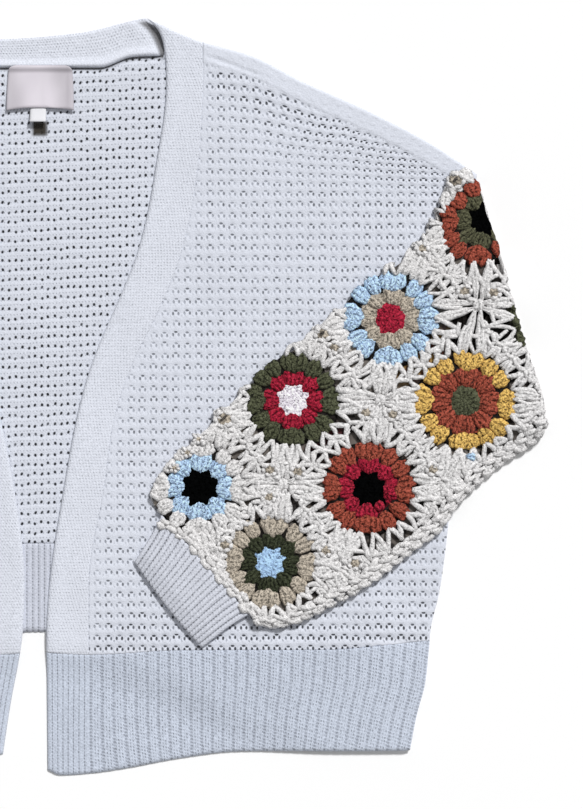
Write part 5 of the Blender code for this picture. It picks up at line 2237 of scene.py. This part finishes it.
    def add_turn(self) -> None:
        """The two hidden layers between the armhole seam and the fold."""
        left = Curve(((0.1474, 0.3085), (0.1250, 0.3062), (0.0400, 0.2992), (-0.0200, 0.2946)))
        right = Curve((
            (0.1474, 0.3098), (0.0950, 0.3247), (0.0410, 0.3400), (-0.0130, 0.3553), (-0.0200, 0.3550),
        ))
        half = (FRONT_TOP - SEAM_GAP) / 2.0
        for layer, word in enumerate(("lower", "upper")):
            rest = layer * (half + SEAM_GAP)
            panel = KnitPanel(
                f"{self.side.value}_turn_{word}", left, right, level(0.1470), level(-0.0200), 16, 60,
                lambda x, y, rest=rest: np.full_like(x, rest), wall=half, sign=self.side.sign,
                free=tuple(Edge), first_top=0.1470, first_bottom=-0.0200,
            )
            mesh = panel.mesh(
                lambda x, y: 0.0001 * np.sin(math.tau * x / 0.005) * np.sin(math.tau * y / 0.005),
                lambda x, y: (x / PLAIN_STITCH, y / PLAIN_STITCH),
            )
            node = self.side.value + "_sleeve_turn"
            cream = Dye.CREAM.finish()
            add_piece(panel.name, mesh, [cream, cream], node, panel.cut())

    def build(self) -> None:
        """Builds the sleeve: its stitches, the wall under them and the turned layers."""
        for motif in MOTIFS:
            self.add_motif(motif)
            self.add_posts(motif)
        for x, y, petal in FLOWERS:
            self.add_flower((x, y), petal)
        for count in range(3):
            self.add_join(MOTIFS[count], MOTIFS[count + 1], double=True)
            self.add_join(MOTIFS[count + 4], MOTIFS[count + 5], double=True)
        for count in range(4):
            self.add_join(MOTIFS[count], MOTIFS[count + 4], double=False)
        for along, across, size in CURLS:
            self.add_curl(np.array(to_world(along, across)), size)
        self.add_lower_edge()
        self.add_edge_clusters()
        self.add_cuff_line()
        self.add_shoulder_end()
        self.puff(self.puffs, *np.array(BLUE_STITCH), 0.0070, 0.0052, Dye.BLUE, 2.0)
        name = self.side.value + "_sleeve"
        self.add_under()
        self.add_turn()
        for word, heap in (("_motifs", self.puffs), ("_chains", self.strands)):
            mesh, dyes = self.joined((heap,))
            add_piece(name + word, mesh, [dye.finish() for dye in dyes], name + "_upper")
        mesh, dyes = self.joined((self.lace_puffs,))
        add_piece(
            name + "_lace", mesh, [dye.finish() for dye in dyes], name + "_upper", LACE_CUT,
        )


@dataclass
class Cuff:
    """A flattened ribbed tube, open at both ends."""

    side: Side
    ribs: int = 22
    points_a_rib: int = 6
    rows: int = 22
    wall: float = 0.0021
    slit: float = 0.0012
    length: float = 0.0407
    skew: float = 0.0022
    faint_groove: float = 0.66
    groove_width: float = 0.19
    end_bow: float = 0.0016
    end_press: float = 0.30
    girth_along: float = -0.2300

    def build(self) -> None:
        """Builds the cuff: rings of points down its outside and back up its inside."""
        half_count = self.ribs * self.points_a_rib
        around = 2 * half_count
        shape = bmesh.new()
        bmesh.ops.create_circle(shape, segments=around, radius=1.0)
        place = shape.verts.layers.int.new("place")
        ordered = sorted(shape.verts, key=lambda vert: math.atan2(vert.co.y, vert.co.x) % math.tau)
        for index, vert in enumerate(ordered):
            vert[place] = index
        first = rim = shape.edges[:]
        rings = [(share, 0.0) for share in np.linspace(0.0, 1.0, self.rows)] + [
            (1.0, 0.5), (1.0, 1.0), (0.8, 1.0), (0.4, 1.0), (0.0, 1.0),
        ]
        for ring in range(1, len(rings)):
            fresh, rim = grown(shape, rim)
            for vert in fresh:
                vert.co.z = ring
                vert[place] = vert[place] % around + ring * around
        bmesh.ops.bridge_loops(shape, edges=first + rim)
        ring, index = np.divmod([vert[place] for vert in shape.verts], around)
        self.dress(as_mesh(shape, "cuff"), np.array(rings)[ring], index, half_count)

    def dress(self, mesh: Mesh, rings: Array, index: Array, half_count: int) -> None:
        """Places the tube's points and adds the piece.

        Args:
            mesh: the tube's mesh.
            rings: share of the way down the cuff, and of the way into the wall, at each point.
            index: each point's number round the tube.
            half_count: how many of them lie on the upper side.
        """
        down, inward = rings[:, 0], rings[:, 1]
        angle = math.tau * (index + 0.5) / (2 * half_count)
        height = 2.0 * self.wall + self.slit
        share = np.cos(angle)
        share = np.sign(share) * np.abs(share) ** 0.72
        upper = np.sin(angle) > 0.0
        start = SLEEVE_SEAM_ALONG - SEAM_GAP
        along = mix(start, start - self.length + self.skew * (1.0 - share), down)
        bow = self.end_bow * (1.0 - share * share) * smooth(0.6, 1.0, down)
        half_width = cuff_half(along) - self.wall * inward
        across = cuff_middle(along) + share * half_width
        x, y = to_world(along - bow, across)
        rib = share * self.ribs / 2.0
        strength = mix(self.faint_groove, 1.0, np.cos(0.5 * math.pi * rib) ** 2)
        profile = RIB_RISE * (0.8 - 1.6 * strength * rib_groove(rib, self.groove_width))
        flatten = np.abs(np.sin(angle)) ** 0.35
        outer = (height / 2.0 + profile * upper * (1.0 - inward)) * flatten
        inner = self.slit / 2.0 * flatten
        level = mix(outer, inner, inward)
        lip = 0.0007 * bell(down, 1.0, 0.05) * (1.0 - inward)
        press = 1.0 - self.end_press * smooth(0.70, 1.0, down)
        z = SLEEVE_REST + press * (height / 2.0 + np.where(upper, level - lip, -level))
        points = np.stack([self.side.sign * x, y, z], axis=1)
        numbers = {"openness": 1.15 * strength, "ladder": np.full(len(points), 0.70)}
        put_numbers(mesh, points, rib, along / RIB_ROW, numbers)
        made = bmesh.new()
        made.from_mesh(mesh)
        bmesh.ops.recalc_face_normals(made, faces=made.faces[:])
        made.to_mesh(mesh)
        made.free()
        name = self.side.value + "_cuff"
        around, length = 4.0 * float(cuff_half(np.array(self.girth_along))), self.length - self.skew
        cut = Cut((around, length), around * length)
        add_piece(name + "_ribs", mesh, [PALE_RIB_KNIT], name, cut)


@dataclass
class Studio:
    """The pale floor, the soft light and the camera straight above."""

    view_height: float = 0.5663
    camera_height: float = 2.0
    centre: Place = (0.17745, -0.0056)
    sensor: float = 36.0
    floor_half: float = 4.0
    floor_drop: float = 0.0004
    sky_strength: float = 0.35
    sun_strength: float = 2.86
    sun_softness: float = 9.0
    sun_tilt: tuple[float, float] = (-36.0, 24.0)

    def add_floor(self) -> None:
        """A wide, plain, pale floor."""
        shape = bmesh.new()
        bmesh.ops.create_grid(shape, x_segments=8, y_segments=8, size=self.floor_half)
        bmesh.ops.translate(shape, verts=shape.verts[:], vec=(0.0, 0.0, -self.floor_drop))
        floor = link("floor", as_mesh(shape, "floor"))
        floor.data.materials.append(finished(FloorFinish()))

    def add_lights(self) -> None:
        """Soft light all round, and a broad light from the upper right."""
        world = bpy.data.worlds.new("studio")
        bpy.context.scene.world = world
        world.use_nodes = True
        sky = world.node_tree.nodes["Background"]
        sky.inputs["Color"].default_value = (1.0, 1.0, 1.0, 1.0)
        sky.inputs["Strength"].default_value = self.sky_strength
        lamp = bpy.data.lights.new("key", "SUN")
        lamp.energy = self.sun_strength
        lamp.angle = math.radians(self.sun_softness)
        link("key", lamp).rotation_euler = (*(math.radians(tilt) for tilt in self.sun_tilt), 0.0)

    def add_camera(self) -> None:
        """The photograph's view, straight down."""
        lens = bpy.data.cameras.new("camera")
        lens.sensor_width = self.sensor
        lens.lens = self.sensor * self.camera_height / self.view_height
        camera = link("camera", lens)
        camera.location = (*self.centre, self.camera_height + SLEEVE_REST)
        bpy.context.scene.camera = camera

    def build(self) -> None:
        """Sets up the studio."""
        bpy.context.scene.view_settings.view_transform = "Standard"
        self.add_camera()
        self.add_floor()
        self.add_lights()


def main() -> None:
    """Builds every sub-assembly in order."""
    logging.basicConfig(level=logging.INFO, format="%(name)s %(message)s")
    Studio().build()
    Body().build()
    NeckLabel().build()
    for side in Side:
        CrochetSleeve(side).build()
        Cuff(side).build()


if __name__ == "__main__":
    main()
